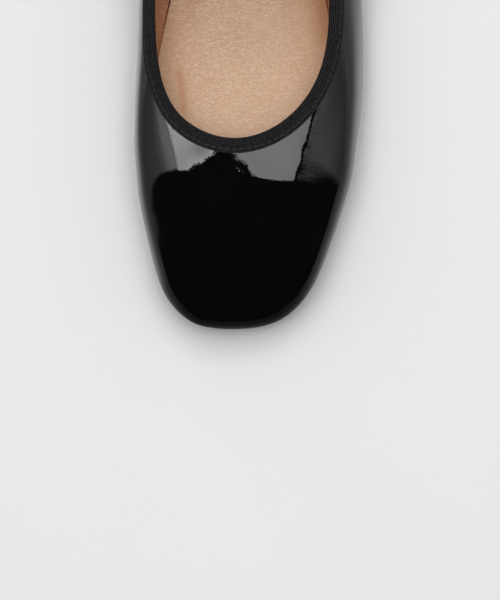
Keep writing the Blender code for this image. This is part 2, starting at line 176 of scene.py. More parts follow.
# Mesh density.
UPPER_AROUND = 480
UPPER_ROWS = 141
UPPER_INSIDE_ROWS = 36
BACK_SEAM_COLUMNS = 25
LINING_AROUND = 300
LINING_ROWS = 70
BINDING_AROUND = 640
RIBBON_LEAF_POINTS = 64
RIBBON_FOLD_POINTS = 38
RIBBON_INNER_POINTS = 26
RIBBON_BACK_INNER_POINTS = 4
RIBBON_BACK_OUTER_POINTS = 8
SOCK_PAIRS = 170
SOCK_COLUMNS = 60
SOCK_EDGE_STEPS = 6
SOLE_PAIRS = 560
SOLE_COLUMNS = 36
HEEL_PAIRS = 90
HEEL_LEVELS = 30
ROUND_STEPS = 5
STRAP_QUARTER_STEPS = 40
STRAP_ARCH_STEPS = 110
STRAP_SIDES = 32
BUTTON_SIDES = 56
BUTTON_RINGS = 26
STITCH_RINGS = 7
STITCH_SIDES = 8
LAP_SAMPLES = 4000
EDGE_SAMPLES = 201
WALL_SAMPLES = 81
END_TRIM = 0.004

# The widest line seen from above: back is the percentage of the length behind the toe tip, side the
# percentage of the ball width from the middle, rim the percentage of the way round the topline.
Section = namedtuple("Section", "name back side rim")
SECTIONS = [
    Section("heel_back", 100.0, -3.0, 0.0),
    Section("heel_corner_lateral", 97.2, 21.3, 4.4),
    Section("heel_lateral", 88.8, 34.1, 9.7),
    Section("rear_waist_lateral", 76.8, 38.5, 16.7),
    Section("waist_lateral", 62.8, 44.4, 25.0),
    Section("joint_lateral", 49.6, 48.7, 32.9),
    Section("ball_lateral", 38.8, 50.1, 39.2),
    Section("little_toe", 29.2, 48.7, 43.2),
    Section("fore_lateral", 20.4, 43.5, 45.6),
    Section("toe_side_lateral", 12.0, 35.4, 47.4),
    Section("toe_corner_lateral", 5.4, 26.5, 48.7),
    Section("toe_front_lateral", 1.3, 13.7, 49.6),
    Section("toe_front", 0.0, -5.6, 50.4),
    Section("toe_front_medial", 1.2, -25.4, 51.2),
    Section("toe_corner_medial", 5.2, -36.6, 52.1),
    Section("toe_side_medial", 11.6, -43.2, 53.5),
    Section("big_toe", 19.6, -47.7, 55.3),
    Section("ball_medial", 28.4, -50.0, 57.9),
    Section("joint_medial", 38.0, -49.0, 61.4),
    Section("fore_waist_medial", 48.4, -47.6, 67.2),
    Section("waist_medial", 62.0, -44.6, 75.3),
    Section("rear_waist_medial", 76.0, -41.5, 83.5),
    Section("heel_medial", 88.8, -40.2, 90.5),
    Section("heel_corner_medial", 97.2, -27.4, 95.6),
]

# The topline, seen from above as in SECTIONS, with its height as a percentage of the back's height.
Rim = namedtuple("Rim", "name back side height")
TOPLINE = [
    Rim("back_seam", 97.8, -3.0, 100.0),
    Rim("heel_corner_lateral", 95.2, 17.6, 98.3),
    Rim("heel_lateral", 87.4, 28.8, 91.4),
    Rim("quarter_lateral", 70.0, 33.0, 77.6),
    Rim("instep_lateral", 48.0, 34.9, 66.6),
    Rim("throat_side_lateral", 36.8, 31.0, 62.0),
    Rim("throat_corner_lateral", 30.9, 20.0, 59.8),
    Rim("throat", 27.0, -6.3, 59.2),
    Rim("throat_corner_medial", 30.9, -31.1, 59.8),
    Rim("throat_side_medial", 36.8, -38.4, 62.6),
    Rim("instep_medial", 48.0, -40.7, 69.0),
    Rim("quarter_medial", 70.0, -39.0, 80.7),
    Rim("heel_medial", 87.4, -34.9, 92.1),
    Rim("heel_corner_medial", 95.2, -23.8, 98.3),
]

# The flank, in millimetres: the feather edge's inset from the widest line, the bounds of the upright
# wall, the place of the roll-over towards the top, the swell above it and the swell by the topline.
Flank = namedtuple("Flank", "name inset low high shoulder_in shoulder_up crown brow")
FLANKS = [
    Flank("heel_back", 6.0, 7.0, 21.0, 0.8, 32.0, 0.4, 0.4),
    Flank("heel_lateral", 6.0, 7.0, 19.0, 1.2, 27.0, 0.6, 0.6),
    Flank("waist_lateral", 16.5, 11.0, 19.5, 2.2, 25.5, 1.4, 1.4),
    Flank("joint_lateral", 17.0, 10.5, 17.5, 3.0, 25.0, 1.9, 1.9),
    Flank("ball_lateral", 12.5, 8.0, 13.0, 3.2, 25.0, 1.4, 1.6),
    Flank("little_toe", 7.0, 5.5, 11.5, 3.2, 25.8, 0.8, 1.4),
    Flank("fore_lateral", 5.0, 4.5, 10.5, 3.0, 24.5, 0.6, 1.4),
    Flank("toe_front", 5.0, 4.0, 8.0, 3.6, 17.5, 0.4, 1.0),
    Flank("big_toe", 5.0, 4.5, 10.5, 2.8, 25.0, 0.6, 1.4),
    Flank("ball_medial", 5.5, 5.5, 12.0, 2.2, 26.8, 0.7, 1.2),
    Flank("joint_medial", 7.0, 6.5, 14.5, 1.8, 27.5, 1.0, 1.3),
    Flank("waist_medial", 15.0, 13.0, 24.0, 0.8, 28.5, 1.0, 1.0),
    Flank("heel_medial", 6.0, 7.0, 19.0, 1.2, 27.0, 0.6, 0.6),
]

# Creases of the upper in millimetres: back is behind the toe tip and side from the middle, from one
# end to the other; bow is how far the line bends aside halfway, width its half width, fade how far it
# runs out beyond its ends, and depth is positive for a trough and negative for a ridge.
Crease = namedtuple("Crease", "name back side to_back to_side bow width fade depth")
CREASES = [
    Crease("puff_edge_medial", 45.0, -39.5, 54.5, -30.0, 0.0, 15.0, 11.0, -1.20),
    Crease("puff_edge_fore_medial", 56.0, -26.0, 57.5, -21.0, 0.0, 5.0, 9.0, -0.25),
    Crease("throat_edge", 63.5, -12.5, 64.0, -7.0, 0.0, 4.5, 6.0, -0.40),
    Crease("puff_edge_fore_lateral", 54.5, 1.0, 50.0, 15.0, 0.0, 5.5, 13.0, -0.40),
    Crease("puff_edge_lateral", 53.8, 21.0, 52.3, 37.0, 0.0, 13.0, 10.0, -1.05),
    Crease("toe_edge", 2.6, -14.0, 2.6, 14.0, -1.4, 4.0, 6.0, -0.50),
    Crease("toe_corner_lateral", 34.0, 28.8, 12.0, 19.5, 0.0, 4.5, 9.0, -0.70),
    Crease("medial_waist", 54.0, -39.5, 42.0, -37.5, 0.0, 6.0, 9.0, 0.45),
    Crease("vamp_crown", 74.0, 5.0, 65.0, 5.5, 0.0, 8.0, 5.0, -0.17),
    Crease("lateral_fold_upper", 73.0, 22.1, 66.0, 20.9, 0.0, 1.4, 2.0, -0.035),
    Crease("lateral_fold_lower", 62.0, 18.7, 58.4, 18.1, 0.0, 1.4, 2.0, -0.035),
    Crease("lateral_fold_end", 57.0, 16.4, 50.0, 15.7, 0.0, 1.4, 2.0, -0.035),
    Crease("toe_corner_medial", 12.0, -30.0, 3.0, -20.0, 0.0, 6.0, 8.0, -0.90),
    Crease("medial_fold", 72.0, -28.6, 54.4, -24.9, 0.3, 1.3, 3.0, -0.05),
]
CREASES_START = 2.6
CREASES_FULL = 3.4

# Soft shapes of the sock in the same terms, and how it lies: its crown, how far in from the edge the
# crown and the dents are full, where the medial side turns into the lateral one, how much wider the
# medial clearance from the lining gets at the waist, and how far the lateral edge curls up the wall, how
# wide the curl is, and where it starts and is full. Waist and curl are placed in shares of the length.
# Last come how wide the painted shade along the edge is and how strong, how strong the painted shade
# on the curl is, and the depth of dent whose painted shade is full. These paint in the shade that the
# walls cast along the sock's edge and that falls on the curl and in the dent.
SOCK_CREASES = [
    Crease("medial_dent", 89.0, -24.4, 79.0, -23.2, 0.3, 1.5, 4.0, 0.35),
    Crease("medial_swell", 92.0, -27.5, 78.0, -25.5, 0.0, 3.0, 7.0, -0.25),
]
SOCK_CROWN = 0.5 * MM
SOCK_CROWN_RUN = 25 * MM
SOCK_DENT_RUN = 4 * MM
SOCK_LATERAL_START = -5 * MM
SOCK_LATERAL_FULL = 10 * MM
SOCK_WAIST_GAP = 0.45 * MM
SOCK_WAIST_START = 0.34
SOCK_WAIST_FULL = 0.46
SOCK_CURL = 2.6 * MM
SOCK_CURL_WIDTH = 7 * MM
SOCK_CURL_START = 0.36
SOCK_CURL_FULL = 0.42
SOCK_SHADE_EDGE = 20 * MM
SOCK_EDGE_SHADE = 0.3
SOCK_CURL_SHADE = 0.95
SOCK_DENT_SHADE = 0.6 * MM


# Curves and sections of the last


def closed_spline(knots, values, at):
    """A closed cubic curve with continuous curvature through one row of values per knot."""
    count = len(values)
    step = np.diff(knots)
    before = np.roll(step, 1)
    slope = (np.roll(values, -1, axis=0) - values) / step[:, None]
    system = np.diag(2 * (before + step))
    index = np.arange(count)
    system[index, index - 1] += before
    system[index, (index + 1) % count] += step
    bend = np.linalg.solve(system, 6 * (slope - np.roll(slope, 1, axis=0)))
    place = np.mod(at - knots[0], knots[-1] - knots[0]) + knots[0]
    left = np.clip(np.searchsorted(knots, place, side="right") - 1, 0, count - 1)
    right = (left + 1) % count
    width = step[left][:, None]
    b = (place - knots[left])[:, None] / width
    a = 1 - b
    swell = ((a**3 - a) * bend[left] + (b**3 - b) * bend[right]) * width**2 / 6
    return a * values[left] + b * values[right] + swell


def chord_knots(points):
    """Distance travelled round a closed chain of points, ending with the whole way round."""
    chords = np.linalg.norm(np.roll(points, -1, axis=0) - points, axis=1)
    return np.concatenate([[0.0], np.cumsum(chords)])


def plan(back, side):
    """Percentages of the length and the ball width as x and y."""
    x = np.asarray(side) / 100 * BALL_WIDTH
    y = (np.asarray(back) / 100 - 0.5) * LENGTH
    return np.stack([x, y], axis=-1)


def smooth_step(low, high, x):
    """Rises from 0 at low to 1 at high with level ends."""
    t = np.clip((x - low) / (high - low), 0, 1)
    return t * t * (3 - 2 * t)


def unit(vectors):
    """The vectors, along the last axis, at length one."""
    return vectors / np.linalg.norm(vectors, axis=-1, keepdims=True)


def travel(points):
    """Distance travelled along a chain of points, from zero at the first."""
    steps = np.linalg.norm(np.diff(points, axis=0), axis=-1)
    return np.concatenate([np.zeros((1, *steps.shape[1:])), np.cumsum(steps, axis=0)])


def columns_along(wanted, walk, columns):
    """Values of each column, by straight lines, at wanted distances along a walk."""
    return np.stack([np.interp(wanted, walk, column) for column in columns.T], axis=-1)


def tread(y):
    """Height of the sole's underside: toe spring, flat tread, arch, and the seat over the heel."""
    back = y / LENGTH + 0.5
    spring = np.clip(1 - back / TREAD_START, 0, None) ** 2 * TOE_SPRING
    return spring + HEEL_HEIGHT * smooth_step(TREAD_END, HEEL_BREAST, back)


def seat(y):
    """Height on which the upper's lasting margin lies."""
    return tread(y) + OUTSOLE_THICKNESS + GAP


OUTLINE_POINTS = plan([s.back for s in SECTIONS], [s.side for s in SECTIONS])
OUTLINE_KNOTS = chord_knots(OUTLINE_POINTS)
GIRTH = OUTLINE_KNOTS[-1]
SECTION_KNOT = {s.name: knot for s, knot in zip(SECTIONS, OUTLINE_KNOTS)}


def outline(at):
    """The widest line seen from above, and its unit normal towards the inside of the shoe."""
    step = GIRTH * 1e-4
    points = closed_spline(OUTLINE_KNOTS, OUTLINE_POINTS, at)
    ahead = closed_spline(OUTLINE_KNOTS, OUTLINE_POINTS, at + step)
    behind = closed_spline(OUTLINE_KNOTS, OUTLINE_POINTS, at - step)
    along = unit(ahead - behind)
    return points, np.stack([along[:, 1], -along[:, 0]], axis=-1)


def topline(at):
    """The opening's edge in three dimensions at each place round the outline."""
    points = plan([r.back for r in TOPLINE], [r.side for r in TOPLINE])
    heights = np.array([r.height for r in TOPLINE]) / 100 * BACK_HEIGHT
    knots = chord_knots(points)
    turns = np.array([s.rim for s in SECTIONS])
    lap_share = OUTLINE_KNOTS[:-1] / GIRTH * 100
    share = closed_spline(OUTLINE_KNOTS, (turns - lap_share)[:, None], at)[:, 0] + at / GIRTH * 100
    return closed_spline(knots, np.column_stack([points, heights]), share / 100 * knots[-1])


def flank(at):
    """The columns of FLANKS, in metres, at each place round the outline."""
    knots = np.array([SECTION_KNOT[f.name] for f in FLANKS] + [GIRTH])
    values = np.array([f[1:] for f in FLANKS]) * MM
    return Flank("", *closed_spline(knots, values, at).T)


def feather(at, extra=0.0):
    """The feather edge, where the flank meets the sole, or a line that lies extra further inside."""
    wide, inward = outline(at)
    return wide + inward * (flank(at).inset + extra)[:, None]


def profile_cage(at):
    """Control points of each section's profile, from the margin's inner edge to the topline."""
    wide, _ = outline(at)
    rim = topline(at)
    shape = flank(at)
    foot = feather(at)
    margin = feather(at, LASTING_MARGIN)
    floor = seat(foot[:, 1])
    towards = unit(rim[:, :2] - wide)
    shoulder = np.column_stack([wide + towards * shape.shoulder_in[:, None], floor + shape.shoulder_up])
    rise = rim - shoulder
    cut = (BINDING_THICKNESS + GAP) / np.linalg.norm(rise, axis=1)
    rise = rise * (1 - cut)[:, None]
    level = np.zeros_like(wide)
    crown = np.column_stack([level, shape.crown])
    brow = np.column_stack([level, shape.brow])
    return np.array([
        np.column_stack([margin, seat(margin[:, 1])]),
        np.column_stack([foot, floor]),
        np.column_stack([wide, floor + shape.low]),
        np.column_stack([wide, floor + shape.high]),
        shoulder,
        shoulder + rise / 3 + crown,
        shoulder + rise * 2 / 3 + brow,
        shoulder + rise,
    ])


def skin(at, climb):
    """The upper's outer surface: a uniform cubic B-spline up each section's cage, with free ends."""
    cage = profile_cage(at)
    cage = np.concatenate([[2 * cage[0] - cage[1]], cage, [2 * cage[-1] - cage[-2]]])
    span = np.minimum(climb.astype(int), len(cage) - 4)
    u = (climb - span)[:, None, None]
    weights = [
        (1 - u) ** 3 / 6,
        (3 * u**3 - 6 * u**2 + 4) / 6,
        (-3 * u**3 + 3 * u**2 + 3 * u + 1) / 6,
        u**3 / 6,
    ]
    return sum(weight * cage[span + k] for k, weight in enumerate(weights))


def skin_normals(at, climb):
    """Unit outward normals of the skin, from the cross product of its two slopes."""
    step = 1e-3
    around = skin(at + GIRTH * step, climb) - skin(at - GIRTH * step, climb)
    up = skin(at, np.minimum(climb + step, SPANS)) - skin(at, np.maximum(climb - step, 0))
    return -unit(np.cross(around, up))


def edge_strip(at, distances):
    """Points and outward normals of the skin at distances measured down each section from its edge."""
    climb = np.linspace(SPANS - EDGE_SPANS, SPANS, EDGE_SAMPLES)
    points = skin(at, climb)[::-1]
    normals = skin_normals(at, climb)[::-1]
    travelled = travel(points)
    found = np.empty((2, len(distances), len(at), 3))
    for k in range(len(at)):
        found[0, :, k] = columns_along(distances, travelled[:, k], points[:, k])
        found[1, :, k] = columns_along(distances, travelled[:, k], normals[:, k])
    return found


def lap(count):
    """Places spread evenly round the outline."""
    return np.linspace(0, GIRTH, count, endpoint=False)


def crease_depth(points, creases):
    """How far creases sink a surface: for each, depth times exp(-(distance / width) squared).

    The distance is measured in plan from a line bowed like a parabola, and the crease runs out beyond
    its ends by a bell of its own.
    """
    side = points[..., 0] / MM
    back = (points[..., 1] + LENGTH / 2) / MM
    total = np.zeros(points.shape[:-1])
    for crease in creases:
        run_side = crease.to_side - crease.side
        run_back = crease.to_back - crease.back
        length = np.hypot(run_side, run_back)
        along = ((side - crease.side) * run_side + (back - crease.back) * run_back) / length**2
        held = np.clip(along, 0, 1)
        across = ((back - crease.back) * run_side - (side - crease.side) * run_back) / length
        across = across - crease.bow * 4 * held * (1 - held)
        beyond = (along - held) * length
        bell = np.exp(-((across / crease.width) ** 2) - (beyond / crease.fade) ** 2)
        total += crease.depth * bell
    return total * MM


# Meshes from arrays


def grid_faces(rows, columns, wrap_rows=False, wrap_columns=False, first=0):
    """Corner numbers of a grid's quads, going round where its rows or columns close on themselves."""
    i, j = np.meshgrid(
        np.arange(rows if wrap_rows else rows - 1),
        np.arange(columns if wrap_columns else columns - 1),
        indexing="ij",
    )
    i_next = (i + 1) % rows
    j_next = (j + 1) % columns
    corners = [i * columns + j, i * columns + j_next, i_next * columns + j_next, i_next * columns + j]
    return first + np.stack(corners, axis=-1).reshape(-1, 4)


def tube_faces(rings, sides):
    """Corner numbers of a tube of rings, with one face across each end."""
    ring = np.arange(sides)[None]
    return [grid_faces(rings, sides, wrap_columns=True), ring[:, ::-1], ring + (rings - 1) * sides]


def grid_map(rows, columns):
    """Texture places of a grid's quad corners, from one value for each row line and column line."""
    i, j = np.meshgrid(np.arange(len(rows) - 1), np.arange(len(columns) - 1), indexing="ij")
    u = np.stack([columns[j], columns[j + 1], columns[j + 1], columns[j]], axis=-1)
    v = np.stack([rows[i], rows[i], rows[i + 1], rows[i + 1]], axis=-1)
    return np.stack([u, v], axis=-1).reshape(-1, 2)


def enclosed_volume(points, faces):
    """Six times the volume inside closed faces, positive where they point outwards."""
    total = 0.0
    for face_set in faces:
        for k in range(1, face_set.shape[1] - 1):
            a, b, c = (points[face_set[:, n]] for n in (0, k, k + 1))
            total += np.sum(np.cross(a, b) * c)
    return total


def add_piece(name, points, faces, finish, replaced=None, texture=None, tan=None, sharp=50):
    """Makes one object from points and sets of faces, turned outwards, and ties it to the frame."""
    points = points.reshape(-1, 3)
    if enclosed_volume(points, faces) < 0:
        faces = [face_set[:, ::-1] for face_set in faces]
        if texture is not None:
            texture = texture.reshape(-1, 4, 2)[:, ::-1].reshape(-1, 2)
    mesh = bpy.data.meshes.new(name)
    mesh.from_pydata(points.tolist(), [], [face for face_set in faces for face in face_set.tolist()])
    if texture is not None:
        layer = mesh.uv_layers.new(name="run")
        layer.data.foreach_set("uv", texture.astype(np.float32).ravel())
    # The share of painted shade at each point, which the leather's material mixes in.
    if tan is not None:
        mesh.attributes.new("tan", "FLOAT", "POINT").data.foreach_set("value", tan.astype(np.float32))
    mesh.shade_smooth()
    mesh.set_sharp_from_angle(angle=np.radians(sharp))
    mesh.materials.append(finish)
    piece = bpy.data.objects.new(name, mesh)
    bpy.context.scene.collection.objects.link(piece)
    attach(piece, "root")
    if replaced:
        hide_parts(replaced)


def paired_places(first_back, last_back, pairs):
    """Places round the outline, lateral then medial, whose feather points face each other.

    Their distances along the shoe follow a cosine, so that they crowd towards both ends.
    """
    round_lap = np.linspace(0, GIRTH, LAP_SAMPLES)
    y = feather(round_lap)[:, 1]
    toe = round_lap[np.argmin(y)]
    heel = round_lap[np.argmax(y)]
    if heel > toe:
        heel -= GIRTH
    low = max(y.min(), (first_back - 0.5) * LENGTH)
    high = min(y.max(), (last_back - 0.5) * LENGTH)
    share = (1 - np.cos(np.linspace(END_TRIM, 1 - END_TRIM, pairs) * np.pi)) / 2
    wanted = low + (high - low) * share
    lateral = np.linspace(toe, heel, LAP_SAMPLES)
    medial = np.linspace(toe, heel + GIRTH, LAP_SAMPLES)
    on_lateral = np.interp(wanted, feather(lateral)[:, 1], lateral)
    on_medial = np.interp(wanted, feather(medial)[:, 1], medial)
    return np.concatenate([on_lateral, on_medial[::-1]])


def ladder(loop, loop_start, first_inside, columns, height):
    """Fills a paired loop with a grid: straight rungs in plan whose height is a function of the points.

    The first and last rung keep only their ends, and one long face closes each end. The height rule
    also gets each point's distance from the nearer end of its rung.
    """
    count = len(loop)
    pairs = count // 2
    rung = np.arange(1, pairs - 1)
    left = loop[rung]
    right = loop[count - 1 - rung]
    share = np.linspace(0, 1, columns + 1)[1:-1]
    inside = left[:, None] + (right - left)[:, None] * share[:, None]
    room = np.linalg.norm(right - left, axis=1)[:, None] * np.minimum(share, 1 - share)
    inside[..., 2] = height(inside, room)
    numbers = np.column_stack([
        loop_start + rung,
        first_inside + np.arange(len(rung) * len(share)).reshape(len(rung), -1),
        loop_start + count - 1 - rung,
    ])
    corners = [numbers[:-1, :-1], numbers[1:, :-1], numbers[1:, 1:], numbers[:-1, 1:]]
    quads = np.stack(corners, axis=-1).reshape(-1, 4)
    toe = np.concatenate([[loop_start], numbers[0], [loop_start + count - 1]])
    heel = np.concatenate([[loop_start + pairs - 1, loop_start + pairs], numbers[-1][::-1]])
    return inside.reshape(-1, 3), [quads, toe[None], heel[None]]


def plate(name, rings, columns, under, over, finish, replaced, tan=None):
    """A closed plate: a stack of paired rings, and a ladder across its lowest and its highest ring."""
    points = np.concatenate(rings)
    count = len(rings[0])
    top_start = len(points) - count
    below, below_faces = ladder(rings[0], 0, len(points), columns, under)
    above, above_faces = ladder(rings[-1], top_start, len(points) + len(below), columns, over)
    faces = [grid_faces(len(rings), count, wrap_columns=True)]
    faces += [face_set[:, ::-1] for face_set in below_faces]
    faces += above_faces
    points = np.concatenate([points, below, above])
    add_piece(name, points, faces, finish, replaced, tan=tan and tan(points))


def level_rings(places, levels):
    """Rings at insets from the feather edge, each with a rule for its height along the shoe."""
    rings = []
    for extra, height in levels:
        ring = feather(places, extra)
        rings.append(np.column_stack([ring, height(ring[:, 1])]))
    return rings


def rounded_foot(inset, low, radius):
    """Levels of a plate's lower edge: a quarter circle above the height rule of its lower face."""
    levels = []
    for turn in np.linspace(0, np.pi / 2, ROUND_STEPS):
        rise = radius * (1 - np.cos(turn))
        levels.append((inset + radius * (1 - np.sin(turn)), lambda y, rise=rise: low(y) + rise))
    return levels


def rounded_edge(inset, low, high, radius):
    """Levels of a plate's side: the lower edge, and a quarter circle below the upper face's rule."""
    levels = rounded_foot(inset, low, radius)
    for turn in np.linspace(0, np.pi / 2, ROUND_STEPS):
        drop = radius * (1 - np.sin(turn))
        levels.append((inset + radius * (1 - np.cos(turn)), lambda y, drop=drop: high(y) - drop))
    return levels


def capsules(centres, along, outward, length, radius):
    """Points and faces of many stitches: each a rod with rounded ends, half sunk in what it holds.

    Each rod's radius is the root of one minus the cube of the way to its end, and it arches outwards as
    a parabola.
    """
    swing = np.linspace(-1, 1, STITCH_RINGS)
    girth = np.sqrt(np.clip(1 - np.abs(swing) ** 3, STITCH_END_SHARE, 1)) * radius
    turn = np.linspace(0, 2 * np.pi, STITCH_SIDES, endpoint=False)
    across = unit(np.cross(outward, along))
    spoke = np.cos(turn)[:, None] * across[:, None] + np.sin(turn)[:, None] * outward[:, None]
    spine = along[:, None] * (swing * length / 2)[:, None]
    height = radius * (STITCH_ARCH * (1 - swing**2) - STITCH_SUNK)
    spine = spine + outward[:, None] * height[:, None]
    points = centres[:, None, None] + spine[:, :, None] + spoke[:, None] * girth[:, None, None]
    first = (np.arange(len(centres)) * STITCH_RINGS * STITCH_SIDES)[:, None, None]
    one = tube_faces(STITCH_RINGS, STITCH_SIDES)
    return points, [(face_set + first).reshape(-1, face_set.shape[1]) for face_set in one]


# Materials


def linear(hex_colour):
    """An sRGB hex colour as linear red, green and blue with full alpha."""
    srgb = np.array([int(hex_colour[i:i + 2], 16) for i in (1, 3, 5)]) / 255
    value = np.where(srgb <= 0.04045, srgb / 12.92, ((srgb + 0.055) / 1.055) ** 2.4)
    return (*value.tolist(), 1.0)


def add_node(tree, kind, inputs=None, stops=(), **settings):
    """Adds a node with its settings, and sets each input or links it where it is given a socket.

    The stops of a colour ramp are given in rising order, each with its place and colour.
    """
    made = tree.nodes.new(kind)
    for name, value in settings.items():
        setattr(made, name, value)
    for name, value in (inputs or {}).items():
        if isinstance(value, bpy.types.NodeSocket):
            tree.links.new(value, made.inputs[name])
        else:
            made.inputs[name].default_value = value
    if stops:
        ramp = made.color_ramp.elements
        ramp[0].position, ramp[-1].position = stops[0][0], stops[-1][0]
        inner = [ramp.new(position) for position, _ in stops[1:-1]]
        for stop, (_, colour) in zip([ramp[0], *inner, ramp[-1]], stops):
            stop.color = colour
    return made


def start_material(name, inputs):
    """A material whose shader has these constant inputs, with its tree, shader and coordinates."""
    made = bpy.data.materials.new(name)
    made.use_nodes = True
    tree = made.node_tree
    shader = tree.nodes["Principled BSDF"]
    for socket, value in inputs.items():
        shader.inputs[socket].default_value = value
    return made, tree, shader, add_node(tree, "ShaderNodeTexCoord").outputs


def patent_leather():
    """Split leather under a film of polyurethane that is poured on and cured until it levels out.

    The eye gets a near mirror over black, with a slight orange peel from the levelling that frays the
    edges of reflections.
    """
    made, tree, shader, place = start_material("patent_leather", {
        "Base Color": linear("#070708"),
        "Roughness": 0.5,
        "Specular IOR Level": 0.0,
        "Coat Weight": 1.0,
        "Coat Roughness": 0.03,
        "Coat IOR": 1.5,
    })
    peel = add_node(tree, "ShaderNodeTexNoise", {
        "Vector": place["Object"], "Scale": 1 / (0.9 * MM), "Detail": 2.0, "Roughness": 0.5})
    wave = add_node(tree, "ShaderNodeTexNoise", {
        "Vector": place["Object"], "Scale": 1 / (9 * MM), "Detail": 1.0})
    bend = add_node(tree, "ShaderNodeBump", {
        "Height": wave.outputs["Fac"], "Strength": 1.0, "Distance": 0.03 * MM})
    fray = add_node(tree, "ShaderNodeBump", {
        "Height": peel.outputs["Fac"], "Normal": bend.outputs["Normal"],
        "Strength": 1.0, "Distance": 0.0105 * MM})
    tree.links.new(fray.outputs["Normal"], shader.inputs["Coat Normal"])
    return made


def grained_leather(name, pale, dark, speck, tan):
    """Thin pigskin, pasted flat and ironed: wavy wrinkles that run sideways and turn into pebbles.

    The wrinkles are the level lines of a stretched noise. The pebbles, which mix in towards the toe, are
    the highest peaks of a finer one. Tops are pale and valleys darker. Painted shade mixes the leather
    towards its shade colour by the share that the mesh holds at each point.
    """
    made, tree, shader, place = start_material(name, {
        "Roughness": 0.5,
        "Specular IOR Level": 0.3,
    })
    stretch = add_node(tree, "ShaderNodeMapping", {
        "Vector": place["Object"], "Rotation": (0, 0, np.radians(-8)),
        "Scale": (1 / (2.4 * MM), 1 / (0.75 * MM), 1 / (2 * MM))})
    wave = add_node(tree, "ShaderNodeTexNoise", {
        "Vector": stretch.outputs["Vector"], "Scale": 1.0, "Detail": 2.0, "Roughness": 0.5,
        "Distortion": 0.8})
    fold = add_node(tree, "ShaderNodeMath", {0: wave.outputs["Fac"], 1: 0.5}, operation="SUBTRACT")
    bank = add_node(tree, "ShaderNodeMath", {0: fold.outputs["Value"]}, operation="ABSOLUTE")
    wrinkle = add_node(tree, "ShaderNodeMapRange", {
        "Value": bank.outputs["Value"], "From Max": 0.14, "To Max": 0.7},
        interpolation_type="SMOOTHSTEP")
    fine = add_node(tree, "ShaderNodeTexNoise", {
        "Vector": place["Object"], "Scale": 1 / (0.6 * MM), "Detail": 1.0})
    pebble = add_node(tree, "ShaderNodeMapRange", {
        "Value": fine.outputs["Fac"], "From Min": 0.5, "From Max": 0.78, "To Min": 0.4},
        interpolation_type="SMOOTHSTEP")
    cloud = add_node(tree, "ShaderNodeTexNoise", {
        "Vector": place["Object"], "Scale": 1 / (22 * MM), "Detail": 2.0})
    along = add_node(tree, "ShaderNodeSeparateXYZ", {"Vector": place["Object"]}).outputs["Y"]
    forward = add_node(tree, "ShaderNodeMath", {
        0: along, 1: -1 / (110 * MM), 2: cloud.outputs["Fac"]}, operation="MULTIPLY_ADD")
    patch = add_node(tree, "ShaderNodeMapRange", {
        "Value": forward.outputs["Value"], "From Min": 0.35, "From Max": 0.8, "To Min": 0.1,
        "To Max": 0.6})
    grain = add_node(tree, "ShaderNodeMix", {
        "Factor": patch.outputs["Result"], "A": wrinkle.outputs["Result"],
        "B": pebble.outputs["Result"]})
    relief = add_node(tree, "ShaderNodeBump", {
        "Height": grain.outputs["Result"], "Strength": 1.0, "Distance": 0.1 * MM})
    tone = add_node(tree, "ShaderNodeValToRGB", {"Fac": grain.outputs["Result"]}, [
        (0.0, linear(dark)), (0.55, linear(pale)), (1.0, linear(speck))])
    # Painted shade: the leather is mixed towards its darker brown by the share held in the mesh.
    shade_share = add_node(tree, "ShaderNodeAttribute", attribute_name="tan")
    colour = add_node(tree, "ShaderNodeMix", {
        "Factor": shade_share.outputs["Fac"], "A": tone.outputs["Color"], "B": linear(tan)},
        data_type="RGBA")
    tree.links.new(colour.outputs["Result"], shader.inputs["Base Color"])
    tree.links.new(relief.outputs["Normal"], shader.inputs["Normal"])
    return made


def ribbed_ribbon():
    """Woven polyester tape with lengthwise cords: dull black cords crossed by much finer threads.

    The cords are in the mesh, and the grooves between them are painted black as a sine across the tape:
    painted shade in the grooves.
    The cords, 0.6 mm apart on the tape, are drawn at 0.7 mm and the crossing threads, 0.25 mm apart,
    at 0.5 mm so that they show.
    """
    made, tree, shader, place = start_material("ribbed_ribbon", {
        "Roughness": 0.8,
        "Specular IOR Level": 0.1,
        "Sheen Weight": 0.03,
        "Sheen Roughness": 0.45,
    })
    thread_wave = np.pi / 10 / (0.5 * MM)
    threads = add_node(tree, "ShaderNodeTexWave", {
        "Vector": place["UV"], "Scale": thread_wave, "Distortion": 1.2, "Detail": 1.0},
        wave_type="BANDS", bands_direction="X")
    relief = add_node(tree, "ShaderNodeBump", {
        "Height": threads.outputs["Fac"], "Strength": 1.0, "Distance": 0.06 * MM})
    across = add_node(tree, "ShaderNodeSeparateXYZ", {"Vector": place["UV"]}).outputs["Y"]
    turn = add_node(tree, "ShaderNodeMath", {0: across, 1: np.pi / RIB_PITCH}, operation="MULTIPLY")
    swing = add_node(tree, "ShaderNodeMath", {0: turn.outputs["Value"]}, operation="SINE")
    cord = add_node(tree, "ShaderNodeMath", {0: swing.outputs["Value"]}, operation="ABSOLUTE")
    fibre = add_node(tree, "ShaderNodeTexNoise", {
        "Vector": place["Object"], "Scale": 1 / (0.9 * MM), "Detail": 3.0, "Roughness": 0.7})
    top = add_node(tree, "ShaderNodeMath", {0: cord.outputs["Value"], 1: fibre.outputs["Fac"]},
                   operation="MULTIPLY")
    # Painted shade: black in the grooves between the cords, lighter on their tops.
    colour = add_node(tree, "ShaderNodeValToRGB", {"Fac": top.outputs["Value"]}, [
        (0.18, linear("#020202")), (0.5, linear("#313033"))])
    tree.links.new(colour.outputs["Color"], shader.inputs["Base Color"])
    tree.links.new(relief.outputs["Normal"], shader.inputs["Normal"])
    return made


